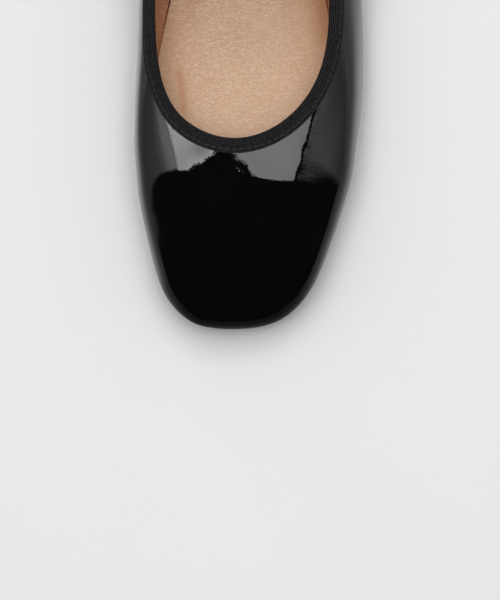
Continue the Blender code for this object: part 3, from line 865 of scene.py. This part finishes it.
def sewing_thread():
    """Bonded polyester thread: a tight, slightly waxy black yarn whose fibres break up its shine."""
    made, tree, shader, place = start_material("sewing_thread", {
        "Specular IOR Level": 0.4,
        "Sheen Weight": 0.1,
    })
    fibre = add_node(tree, "ShaderNodeTexNoise", {
        "Vector": place["Object"], "Scale": 1 / (0.35 * MM), "Detail": 2.0})
    colour = add_node(tree, "ShaderNodeValToRGB", {"Fac": fibre.outputs["Fac"]}, [
        (0.0, linear("#0C0C0D")), (1.0, linear("#242426"))])
    gloss = add_node(tree, "ShaderNodeMapRange", {
        "Value": fibre.outputs["Fac"], "To Min": 0.4, "To Max": 0.65})
    tree.links.new(colour.outputs["Color"], shader.inputs["Base Color"])
    tree.links.new(gloss.outputs["Result"], shader.inputs["Roughness"])
    return made


def sole_rubber():
    """Moulded thermoplastic rubber: satin black with the fine spark-etched grain of its mould."""
    made, tree, shader, place = start_material("sole_rubber", {"Specular IOR Level": 0.4})
    etch = add_node(tree, "ShaderNodeTexNoise", {
        "Vector": place["Object"], "Scale": 1 / (0.7 * MM), "Detail": 3.0, "Roughness": 0.6})
    scuff = add_node(tree, "ShaderNodeTexNoise", {
        "Vector": place["Object"], "Scale": 1 / (14 * MM), "Detail": 4.0})
    relief = add_node(tree, "ShaderNodeBump", {
        "Height": etch.outputs["Fac"], "Strength": 1.0, "Distance": 0.05 * MM})
    colour = add_node(tree, "ShaderNodeValToRGB", {"Fac": scuff.outputs["Fac"]}, [
        (0.35, linear("#161617")), (0.7, linear("#242425"))])
    gloss = add_node(tree, "ShaderNodeMapRange", {
        "Value": scuff.outputs["Fac"], "To Min": 0.42, "To Max": 0.62})
    tree.links.new(colour.outputs["Color"], shader.inputs["Base Color"])
    tree.links.new(gloss.outputs["Result"], shader.inputs["Roughness"])
    tree.links.new(relief.outputs["Normal"], shader.inputs["Normal"])
    return made


def backdrop_paper():
    """Pale matt paper from a roll, with a barely uneven tone."""
    made, tree, shader, place = start_material("backdrop_paper", {
        "Roughness": 0.9,
        "Specular IOR Level": 0.1,
    })
    tone = add_node(tree, "ShaderNodeTexNoise", {
        "Vector": place["Object"], "Scale": 1 / (60 * MM), "Detail": 2.0})
    colour = add_node(tree, "ShaderNodeValToRGB", {"Fac": tone.outputs["Fac"]}, [
        (0.0, linear("#ECECEC")), (1.0, linear("#EEEEEE"))])
    tree.links.new(colour.outputs["Color"], shader.inputs["Base Color"])
    return made


# Pieces of the shoe


def skived(climb):
    """The share of the wall's thickness that is left: a soft step down to the topline."""
    return (1 - (1 - EDGE_WALL / WALL) * smooth_step(SKIVE_START, SKIVE_END, climb))[:, None, None]


def make_upper(finish):
    """The patent skin as a closed shell: the last's surface with its creases, and a face just inside it.

    The back seam is a bell across the heel, from the feather edge to the topline.
    """
    near_seam = np.linspace(-1, 1, BACK_SEAM_COLUMNS) * BACK_SEAM_REACH
    at = np.union1d(lap(UPPER_AROUND), np.mod(near_seam, GIRTH))
    climb = np.linspace(0, SPANS, UPPER_ROWS)
    outer = skin(at, climb)
    from_seam = np.minimum(at, GIRTH - at)
    seam = BACK_SEAM_DEPTH * np.exp(-((from_seam / BACK_SEAM_WIDTH) ** 2))
    above_feather = smooth_step(CREASES_START, CREASES_FULL, climb)[:, None]
    sink = (crease_depth(outer, CREASES) + seam) * above_feather
    outer = outer - skin_normals(at, climb) * sink[..., None]
    inside_climb = np.linspace(SPANS, 0, UPPER_INSIDE_ROWS)
    thickness = PATENT_THICKNESS * skived(inside_climb)
    inside = skin(at, inside_climb) - skin_normals(at, inside_climb) * thickness
    rows = UPPER_ROWS + UPPER_INSIDE_ROWS
    faces = [grid_faces(rows, len(at), wrap_rows=True, wrap_columns=True)]
    points = np.concatenate([outer, inside])
    add_piece("upper_patent", points, faces, finish, "upper")


def make_lining(finish):
    """The leather lining: a closed shell from the patent skin's inner face to the wall's inner face."""
    at = lap(LINING_AROUND)
    climb = np.linspace(LINING_START, SPANS, LINING_ROWS)
    normals = skin_normals(at, climb)
    surface = skin(at, climb)
    outside = surface - normals * (PATENT_THICKNESS + LINING_GAP) * skived(climb)
    inside = surface - normals * WALL * skived(climb)
    faces = [grid_faces(2 * LINING_ROWS, LINING_AROUND, wrap_rows=True, wrap_columns=True)]
    add_piece("lining", np.concatenate([outside, inside[::-1]]), faces, finish)


def ribbon_section():
    """The binding's section as a closed path: distance down the skin, height above the edge, offset.

    It runs up the outer leaf, over a half ellipse and down the inner leaf with round cords of one
    pitch, and back along the inside. Grooves between the cords sink by their height.
    """
    fold = GAP + BINDING_THICKNESS
    leaf = BINDING_WIDTH - fold
    inner = -EDGE_WALL - RIBBON_INNER
    half = (fold - inner) / 2
    middle = (fold + inner) / 2
    outer_down = np.linspace(leaf, 0, RIBBON_LEAF_POINTS)
    turn = np.linspace(0, np.pi, RIBBON_FOLD_POINTS)[1:-1]
    inner_down = np.linspace(0, BINDING_INSIDE, RIBBON_INNER_POINTS)
    fold_run = leaf + turn / np.pi * (half + fold) * np.pi / 2
    inner_run = leaf + (half + fold) * np.pi / 2 + inner_down
    run = np.concatenate([leaf - outer_down, fold_run, inner_run])
    cord = RIB_HEIGHT * (np.abs(np.sin(np.pi * run / RIB_PITCH)) ** RIB_ROUNDNESS - 1)
    on_leaf, on_fold, on_inner = np.split(cord, [len(outer_down), len(outer_down) + len(turn)])
    back_inner = np.linspace(BINDING_INSIDE, 0, RIBBON_BACK_INNER_POINTS)
    back_outer = np.linspace(0, leaf, RIBBON_BACK_OUTER_POINTS)
    down = np.concatenate([outer_down, 0 * turn, inner_down, back_inner, back_outer])
    above = np.concatenate([
        0 * outer_down, (fold + on_fold) * np.sin(turn), 0 * inner_down,
        GAP * (back_inner == 0), GAP * (back_outer == 0)])
    offset = np.concatenate([
        fold + on_leaf, (half + on_fold) * np.cos(turn) + middle, inner - on_inner,
        0 * back_inner - EDGE_WALL, 0 * back_outer + GAP])
    back_run = run[-1] + np.linspace(0, leaf + BINDING_INSIDE, len(back_inner) + len(back_outer) + 1)
    return down, above, offset, np.concatenate([run, back_run])


def edge_rise(at):
    """Unit directions that continue each section past its edge."""
    short_way = 0.5 * MM
    near, _ = edge_strip(at, np.array([0, short_way]))
    return unit(near[0] - near[1])


def make_binding(finish):
    """The ribbon folded over the topline: its section carried round the upper's edge."""
    at = lap(BINDING_AROUND)
    down, above, offset, run = ribbon_section()
    points, normals = edge_strip(at, down)
    points = points + edge_rise(at) * above[:, None, None] + normals * offset[:, None, None]
    edge = np.concatenate([points[0], points[0, :1]])
    faces = [grid_faces(len(down), BINDING_AROUND, wrap_rows=True, wrap_columns=True)]
    texture = grid_map(run, travel(edge))
    add_piece(
        "binding_ribbon", points, faces, finish, "binding", texture)


def make_binding_stitches(finish):
    """The lockstitch that holds the binding: one row on its outer leaf and one on its inner leaf."""
    fold = GAP + BINDING_THICKNESS
    leaf = BINDING_WIDTH - fold
    step = GIRTH * 1e-4
    all_points = []
    all_faces = [[], [], []]
    for down, offset, facing in (
        (leaf - BINDING_STITCH_INSET, fold, 1),
        (BINDING_INSIDE - BINDING_STITCH_INSET, -EDGE_WALL - RIBBON_INNER, -1),
    ):
        distance = np.array([down])
        fine = np.linspace(0, GIRTH, LAP_SAMPLES // 4)
        walk = travel(edge_strip(fine, distance)[0][0])
        count = int(round(walk[-1] / BINDING_STITCH_PITCH))
        at = np.interp((np.arange(count) + 0.5) * walk[-1] / count, walk, fine)
        points, normals = edge_strip(at, distance)
        ahead = edge_strip(at + step, distance)[0][0]
        along = unit(ahead - points[0])
        outward = unit(normals[0]) * facing
        stitches, faces = capsules(
            points[0] + normals[0] * offset, along, outward, BINDING_STITCH_LENGTH, STITCH_RADIUS)
        start = sum(len(p) for p in all_points)
        all_points.append(stitches.reshape(-1, 3))
        for kept, face_set in zip(all_faces, faces):
            kept.append(face_set + start)
    faces = [np.concatenate(kept) for kept in all_faces]
    add_piece("binding_stitches", np.concatenate(all_points), faces, finish)


def wall_reach(at, height):
    """How far outside the feather edge the lining's face lies at a height above the seat."""
    feather_span, flank_span = 1, 3
    climb = np.linspace(feather_span, flank_span, WALL_SAMPLES)
    face = skin(at, climb) - skin_normals(at, climb) * WALL
    foot = feather(at)
    _, inward = outline(at)
    out = -np.sum((face[..., :2] - foot) * inward, axis=-1)
    up = face[..., 2] - seat(foot[:, 1])
    return np.array([np.interp(height, up[:, k], out[:, k]) for k in range(len(at))])


def sock_curl(points):
    """How far the sock's lateral edge is curled up at its very edge, by a soft step along the shoe."""
    back = points[..., 1] / LENGTH + 0.5
    return SOCK_CURL * smooth_step(SOCK_CURL_START, SOCK_CURL_FULL, back) * (points[..., 0] > 0)


def make_sock(finish):
    """The leather-covered insole: a plate with a low crown across, dented by use.

    Its edge is a quarter circle. On the lateral side it reaches the lining and curls up along it as the
    square of the distance; on the medial side a gap is left, which widens at the waist.
    """
    places = paired_places(0, 1, SOCK_PAIRS)
    foot = feather(places)
    back = foot[:, 1] / LENGTH + 0.5
    lateral = smooth_step(SOCK_LATERAL_START, SOCK_LATERAL_FULL, foot[:, 0])
    gap = INSOLE_CLEARANCE + SOCK_WAIST_GAP * smooth_step(SOCK_WAIST_START, SOCK_WAIST_FULL, back)
    under_height = WALL + GAP
    top_height = under_height + INSOLE_THICKNESS
    edge = (1 - lateral) * gap - lateral * wall_reach(places, top_height)
    side_height = under_height + INSOLE_THICKNESS / 2
    levels = [(INSOLE_UNDERCUT, under_height), (edge + INSOLE_EDGE_ROUND, side_height)]
    for turn in np.linspace(0, np.pi / 2, SOCK_EDGE_STEPS):
        inset = edge + INSOLE_EDGE_ROUND * (1 - np.cos(turn))
        levels.append((inset, top_height - INSOLE_EDGE_ROUND * (1 - np.sin(turn))))
    rings = []
    for inset, height in levels:
        ring = feather(places, inset)
        lift = sock_curl(ring) * (height > under_height)
        rings.append(np.column_stack([ring, seat(ring[:, 1]) + height + lift]))

    def crowned(points, room):
        crown = SOCK_CROWN * smooth_step(0, SOCK_CROWN_RUN, room)
        curl = sock_curl(points) * np.clip(1 - room / SOCK_CURL_WIDTH, 0, 1) ** 2
        dent = crease_depth(points, SOCK_CREASES) * smooth_step(0, SOCK_DENT_RUN, room)
        return seat(points[..., 1]) + top_height + crown + curl - dent

    # Painted shade: darker brown along the sock's edges, where the walls shade it, on the lateral curl
    # and in the medial dent.
    def painted_shade_share(points):
        on_lateral = foot[:SOCK_PAIRS]
        on_medial = foot[:SOCK_PAIRS - 1:-1]
        east = np.interp(points[:, 1], on_lateral[:, 1], on_lateral[:, 0])
        west = np.interp(points[:, 1], on_lateral[:, 1], on_medial[:, 0])
        room = np.minimum(east - points[:, 0], points[:, 0] - west)
        edge_share = SOCK_EDGE_SHADE * (1 - smooth_step(0, SOCK_SHADE_EDGE, room))
        curl_share = SOCK_CURL_SHADE * sock_curl(points) / SOCK_CURL
        curl_share = curl_share * (1 - smooth_step(-SOCK_CURL_WIDTH, SOCK_CURL_WIDTH, room))
        dent_share = crease_depth(points, SOCK_CREASES[:1]) / SOCK_DENT_SHADE
        return np.clip(edge_share + curl_share + dent_share, 0, 1)

    def flat(points, room):
        return seat(points[..., 1]) + under_height

    plate("sock", rings, SOCK_COLUMNS, flat, crowned, finish, "insole", painted_shade_share)


def tread_grooves(points, room):
    """Depth of the cross grooves under forefoot and heel: a clipped cosine along the shoe.

    Each zone starts and ends with a soft step, and the grooves stop with one short of the edge.
    """
    back = points[..., 1] / LENGTH + 0.5
    swing = np.cos(2 * np.pi * points[..., 1] / TREAD_PITCH)
    wave = np.clip(TREAD_STEEPNESS * swing - TREAD_LAND, 0, 1)
    zones = 0
    for start, full, fade, end in (TREAD_FOREFOOT, TREAD_HEEL):
        zones = zones + smooth_step(start, full, back) * (1 - smooth_step(fade, end, back))
    return TREAD_DEPTH * wave * zones * smooth_step(TREAD_MARGIN, TREAD_MARGIN_FULL, room)


def make_outsole(finish):
    """The thin rubber sole: rounded edges, and grooves under the forefoot."""
    def top(y):
        return tread(y) + OUTSOLE_THICKNESS

    def grooved(points, room):
        return tread(points[..., 1]) + tread_grooves(points, room)

    levels = rounded_edge(-SOLE_LIP, tread, top, SOLE_EDGE_ROUND)
    rings = level_rings(paired_places(0, 1, SOLE_PAIRS), levels)
    plate(
        "outsole_rubber", rings, SOLE_COLUMNS, grooved, lambda p, room: top(p[..., 1]), finish,
        "outsole")


def make_heel(finish):
    """The low heel: a block that narrows towards the floor, with its top piece's line pressed in."""
    def top(y):
        return tread(y) - GAP

    levels = rounded_foot(HEEL_TAPER - SOLE_LIP, np.zeros_like, SOLE_EDGE_ROUND)
    for share in np.linspace(HEEL_WALL_START, 1, HEEL_LEVELS):
        from_line = (share * (HEEL_HEIGHT - GAP) - TOP_PIECE_HEIGHT) / TOP_PIECE_LINE_WIDTH
        line = TOP_PIECE_LINE_DEPTH * np.exp(-(from_line**2))
        taper = HEEL_TAPER * (1 - share)
        levels.append((taper - SOLE_LIP + line, lambda y, share=share: share * top(y)))
    levels.append((SOLE_EDGE_ROUND - SOLE_LIP, top))
    rings = level_rings(paired_places(HEEL_BREAST, 1, HEEL_PAIRS), levels)
    plate(
        "heel_block", rings, SOLE_COLUMNS, tread_grooves, lambda p, room: top(p[..., 1]), finish,
        "heel")


def quarter_place(side_sign):
    """The place round the outline whose topline point lies under the strap on one side."""
    at = np.linspace(0, GIRTH, LAP_SAMPLES)
    rim = topline(at)
    miss = np.abs(rim[:, 1] - (STRAP_BACK - 0.5) * LENGTH)
    miss[rim[:, 0] * side_sign < 0] = np.inf
    return at[np.argmin(miss)]


def quarter_run(side_sign, drop):
    """Strap centres and width directions from its end up one quarter to where it leaves it."""
    at = quarter_place(side_sign) + np.array([-1, 0, 1]) * STRAP_WIDTH / 2
    down = np.linspace(drop, STRAP_LEAVE, STRAP_QUARTER_STEPS + 1)
    points, normals = edge_strip(at, down)
    over_binding = 1 - smooth_step(STRAP_LEAVE, STRAP_LEAVE + STRAP_LIFT_RUN, down)
    lift = STRAP_THICKNESS / 2 + GAP + over_binding * (BINDING_THICKNESS + GAP)
    return points[:, 1] + normals[:, 1] * lift[:, None], unit(points[:, 2] - points[:, 0])


def strap_frames():
    """Centres, width directions and outward directions of the strap from its lateral to its medial end.

    It lies on both quarters, and a cubic with the quarters' slopes at its ends arches between them.
    """
    start, start_along = quarter_run(1, STRAP_DROP_LATERAL)
    finish, finish_along = quarter_run(-1, STRAP_DROP_MEDIAL)
    finish, finish_along = finish[::-1], -finish_along[::-1]
    leave = unit(start[-1] - start[-2]) * STRAP_SPRING
    arrive = unit(finish[1] - finish[0]) * STRAP_SPRING
    t = np.linspace(0, 1, STRAP_ARCH_STEPS + 1)[1:-1, None]
    arch = (
        (2 * t**3 - 3 * t**2 + 1) * start[-1]
        + (t**3 - 2 * t**2 + t) * leave
        + (3 * t**2 - 2 * t**3) * finish[0]
        + (t**3 - t**2) * arrive
    )
    arch_along = (1 - t) * start_along[-1] + t * finish_along[0]
    centres = np.concatenate([start, arch, finish])
    along = unit(np.concatenate([start_along, arch_along, finish_along]))
    outward = unit(np.cross(np.gradient(centres, axis=0), along))
    return centres, along, outward


def make_strap(finish):
    """The patent strap: a squarish superellipse carried along the strap's path, with half-round ends."""
    centres, along, outward = strap_frames()
    walk = travel(centres)
    from_end = np.minimum(walk, walk[-1] - walk)
    rounding = np.clip(1 - from_end / (STRAP_WIDTH / 2), 0, STRAP_END_ROUNDING)
    half = STRAP_WIDTH / 2 * np.sqrt(1 - rounding**2)
    turn = np.linspace(0, 2 * np.pi, STRAP_SIDES, endpoint=False)
    across = np.sign(np.cos(turn)) * np.abs(np.cos(turn)) ** STRAP_CORNER
    up = np.sign(np.sin(turn)) * np.abs(np.sin(turn)) ** STRAP_CORNER * STRAP_THICKNESS / 2
    points = (
        centres[:, None]
        + along[:, None] * (half[:, None] * across)[..., None]
        + outward[:, None] * up[:, None]
    )
    faces = tube_faces(len(centres), STRAP_SIDES)
    add_piece("strap_patent", points, faces, finish, "strap")


def make_strap_stitches(finish):
    """Two rows of stitches on the strap's outer face, near its edges, clear of its round ends."""
    centres, along, outward = strap_frames()
    walk = travel(centres)
    count = int((walk[-1] - STRAP_WIDTH) / STRAP_STITCH_PITCH)
    wanted = STRAP_WIDTH / 2 + (np.arange(count) + 0.5) * STRAP_STITCH_PITCH
    lift = outward * STRAP_THICKNESS / 2
    aside = along * (STRAP_WIDTH / 2 - STRAP_STITCH_INSET)
    lines = (centres + lift + aside, centres + lift - aside)
    rows = [columns_along(wanted, walk, line) for line in lines]
    forward = unit(columns_along(wanted, walk, np.gradient(centres, axis=0)))
    facing = unit(columns_along(wanted, walk, outward))
    points, faces = capsules(
        np.concatenate(rows), np.concatenate([forward] * 2), np.concatenate([facing] * 2),
        STRAP_STITCH_LENGTH, STITCH_RADIUS)
    add_piece("strap_stitches", points, faces, finish)


def make_button(finish):
    """The domed button on the strap's lateral end: a flat ellipse turned about the strap's normal."""
    centres, along, outward = strap_frames()
    k = np.argmin(np.abs(travel(centres) - BUTTON_FROM_END))
    base = centres[k] + outward[k] * (STRAP_THICKNESS / 2 + GAP)
    swing = np.radians(np.linspace(BUTTON_SKIRT_TURN, BUTTON_CROWN_TURN, BUTTON_RINGS))[:, None, None]
    turn = np.linspace(0, 2 * np.pi, BUTTON_SIDES, endpoint=False)[:, None]
    spoke = np.cos(turn) * along[k] + np.sin(turn) * np.cross(outward[k], along[k])
    radius = BUTTON_RADIUS * np.cos(swing) ** BUTTON_ROUNDNESS
    height = BUTTON_HEIGHT * (BUTTON_SKIRT_SHARE + (1 - BUTTON_SKIRT_SHARE) * np.sin(swing))
    points = base + spoke * radius + outward[k] * height
    faces = tube_faces(BUTTON_RINGS, BUTTON_SIDES)
    add_piece("button_dome", points, faces, finish, "button")


# Stage, light and camera


def make_floor(finish):
    """A wide level sheet under the shoe."""
    half = 10.0
    mesh = bpy.data.meshes.new("floor")
    corners = [(-half, -half, 0), (half, -half, 0), (half, half, 0), (-half, half, 0)]
    mesh.from_pydata(corners, [], [(0, 1, 2, 3)])
    mesh.materials.append(finish)
    floor = bpy.data.objects.new("floor", mesh)
    bpy.context.scene.collection.objects.link(floor)
    # Mirrors don't see the floor: the world's lower half stands in as its painted reflection, with
    # painted shade straight below the shoe.
    floor.visible_glossy = False


def add_softbox(box):
    """A level rectangular light, graded from end to end, that mirrors show only if it is mirrored."""
    light = bpy.data.lights.new(box.name, "AREA")
    light.shape = "RECTANGLE"
    light.size = box.east - box.west
    light.size_y = box.rear - box.front
    light.energy = np.pi * light.size * light.size_y
    light.use_nodes = True
    tree = light.node_tree
    across = add_node(tree, "ShaderNodeNewGeometry").outputs["Parametric"]
    share = add_node(tree, "ShaderNodeSeparateXYZ", {"Vector": across}).outputs["X"]
    radiance = add_node(tree, "ShaderNodeMapRange", {
        "Value": share, "To Min": box.from_west, "To Max": box.to_east})
    tree.links.new(radiance.outputs["Result"], tree.nodes["Emission"].inputs["Strength"])
    lamp = bpy.data.objects.new(box.name, light)
    lamp.location = ((box.west + box.east) / 2, (box.front + box.rear) / 2, box.height)
    lamp.visible_glossy = box.mirrored
    bpy.context.scene.collection.objects.link(lamp)


def make_world():
    """A studio that is dark overhead and in front, with pale walls at both sides and dimmer ones behind.

    The walls' brightness is a chain of straight lines over the view's sideways part and a soft step near
    the floor, times soft steps at the front edge and to the rear. The lower half's is a soft step over
    the turn to the front, times one towards the horizon and one straight below.
    """
    world = bpy.data.worlds.new("studio")
    world.use_nodes = True
    tree = world.node_tree
    view = add_node(tree, "ShaderNodeTexCoord").outputs["Generated"]
    axes = add_node(tree, "ShaderNodeSeparateXYZ", {"Vector": view}).outputs
    level = add_node(tree, "ShaderNodeVectorMath", {0: view, 1: (1, 1, 0)}, operation="MULTIPLY")
    turn = add_node(tree, "ShaderNodeVectorMath", {0: level.outputs["Vector"]}, operation="NORMALIZE")
    turn_axes = add_node(tree, "ShaderNodeSeparateXYZ", {"Vector": turn.outputs["Vector"]}).outputs
    aside = add_node(tree, "ShaderNodeMath", {0: axes["X"]}, operation="ABSOLUTE")
    slanted = add_node(tree, "ShaderNodeMath", {
        0: aside.outputs["Value"], 1: STUDIO_SLANT, 2: axes["Y"]}, operation="MULTIPLY_ADD")
    from_edge = add_node(tree, "ShaderNodeMath", {
        0: axes["Z"], 1: STUDIO_RISE, 2: slanted.outputs["Value"]}, operation="MULTIPLY_ADD")
    soft = {}
    for name, value, bounds, low, high in (
        ("glow_height", axes["Z"], STUDIO_GLOW_HEIGHT, 0.0, STUDIO_GLOW),
        ("glow_turn", axes["Y"], STUDIO_GLOW_TURN, 0.0, 1.0),
        ("front", from_edge.outputs["Value"], STUDIO_FRONT, 0.0, 1.0),
        ("rear", axes["Y"], STUDIO_REAR, 1.0, STUDIO_REAR_SHARE),
        ("floor_far", axes["Z"], STUDIO_FLOOR_FAR, 1.0, STUDIO_FLOOR_FAR_SHARE),
        ("floor_below", axes["Z"], STUDIO_FLOOR_BELOW, STUDIO_FLOOR_BELOW_SHARE, 1.0),
        ("floor_turn", turn_axes["Y"], STUDIO_FLOOR_TURN, STUDIO_FLOOR_FRONT, STUDIO_FLOOR),
    ):
        soft[name] = add_node(tree, "ShaderNodeMapRange", {
            "Value": value, "From Min": bounds[0], "From Max": bounds[1], "To Min": low, "To Max": high},
            interpolation_type="SMOOTHSTEP").outputs["Result"]
    sideways = add_node(tree, "ShaderNodeMapRange", {"Value": axes["X"], "From Min": -1.0})
    sides = add_node(tree, "ShaderNodeValToRGB", {"Fac": sideways.outputs["Result"]}, [
        ((part + 1) / 2, (*[radiance / STUDIO_PEAK] * 3, 1)) for part, radiance in STUDIO_SIDES])
    glow = add_node(tree, "ShaderNodeMath", {
        0: soft["glow_height"], 1: soft["glow_turn"]}, operation="MULTIPLY")
    walls = add_node(tree, "ShaderNodeMath", {
        0: sides.outputs["Color"], 1: STUDIO_PEAK, 2: glow.outputs["Value"]}, operation="MULTIPLY_ADD")
    lit = add_node(tree, "ShaderNodeMath", {0: soft["front"], 1: soft["rear"]}, operation="MULTIPLY")
    above = add_node(tree, "ShaderNodeMath", {
        0: walls.outputs["Value"], 1: lit.outputs["Value"], 2: STUDIO_DARK}, operation="MULTIPLY_ADD")
    shaded = add_node(tree, "ShaderNodeMath", {
        0: soft["floor_far"], 1: soft["floor_below"]}, operation="MULTIPLY")
    ground = add_node(tree, "ShaderNodeMath", {
        0: soft["floor_turn"], 1: shaded.outputs["Value"]}, operation="MULTIPLY")
    downward = add_node(tree, "ShaderNodeMath", {0: axes["Z"], 1: 0.0}, operation="LESS_THAN")
    strength = add_node(tree, "ShaderNodeMix", {
        "Factor": downward.outputs["Value"], "A": above.outputs["Value"], "B": ground.outputs["Value"]})
    background = tree.nodes["Background"]
    background.inputs["Color"].default_value = (1, 1, 1, 1)
    tree.links.new(strength.outputs["Result"], background.inputs["Strength"])
    bpy.context.scene.world = world


def make_camera():
    """Looks straight down on the toe half, as the photograph does, with the toe at the bottom."""
    camera = bpy.data.cameras.new("camera")
    camera.sensor_fit = "VERTICAL"
    camera.sensor_height = CAMERA_SENSOR
    camera.lens = CAMERA_SENSOR * (CAMERA_HEIGHT - CAMERA_SCALE_HEIGHT) / VIEW_LENGTH
    eye = bpy.data.objects.new("camera", camera)
    eye.location = (VIEW_SIDE, VIEW_BACK - LENGTH / 2, CAMERA_HEIGHT)
    bpy.context.scene.collection.objects.link(eye)
    bpy.context.scene.camera = eye
    bpy.context.scene.view_settings.view_transform = "Standard"


patent = patent_leather()
ribbon = ribbed_ribbon()
thread = sewing_thread()
rubber = sole_rubber()
# The last colour of each leather is the darker brown of its painted shade.
sock_leather = grained_leather("sock_leather", "#D9B89C", "#BD9676", "#EAD5C2", "#BC8862")
lining_leather = grained_leather("lining_leather", "#BB8562", "#A87250", "#C99675", "#AF7654")

make_upper(patent)
make_lining(lining_leather)
make_binding(ribbon)
make_binding_stitches(thread)
make_sock(sock_leather)
make_outsole(rubber)
make_heel(rubber)
make_strap(patent)
make_strap_stitches(thread)
make_button(patent)

make_floor(backdrop_paper())
make_world()
for softbox in SOFTBOXES:
    add_softbox(softbox)
make_camera()
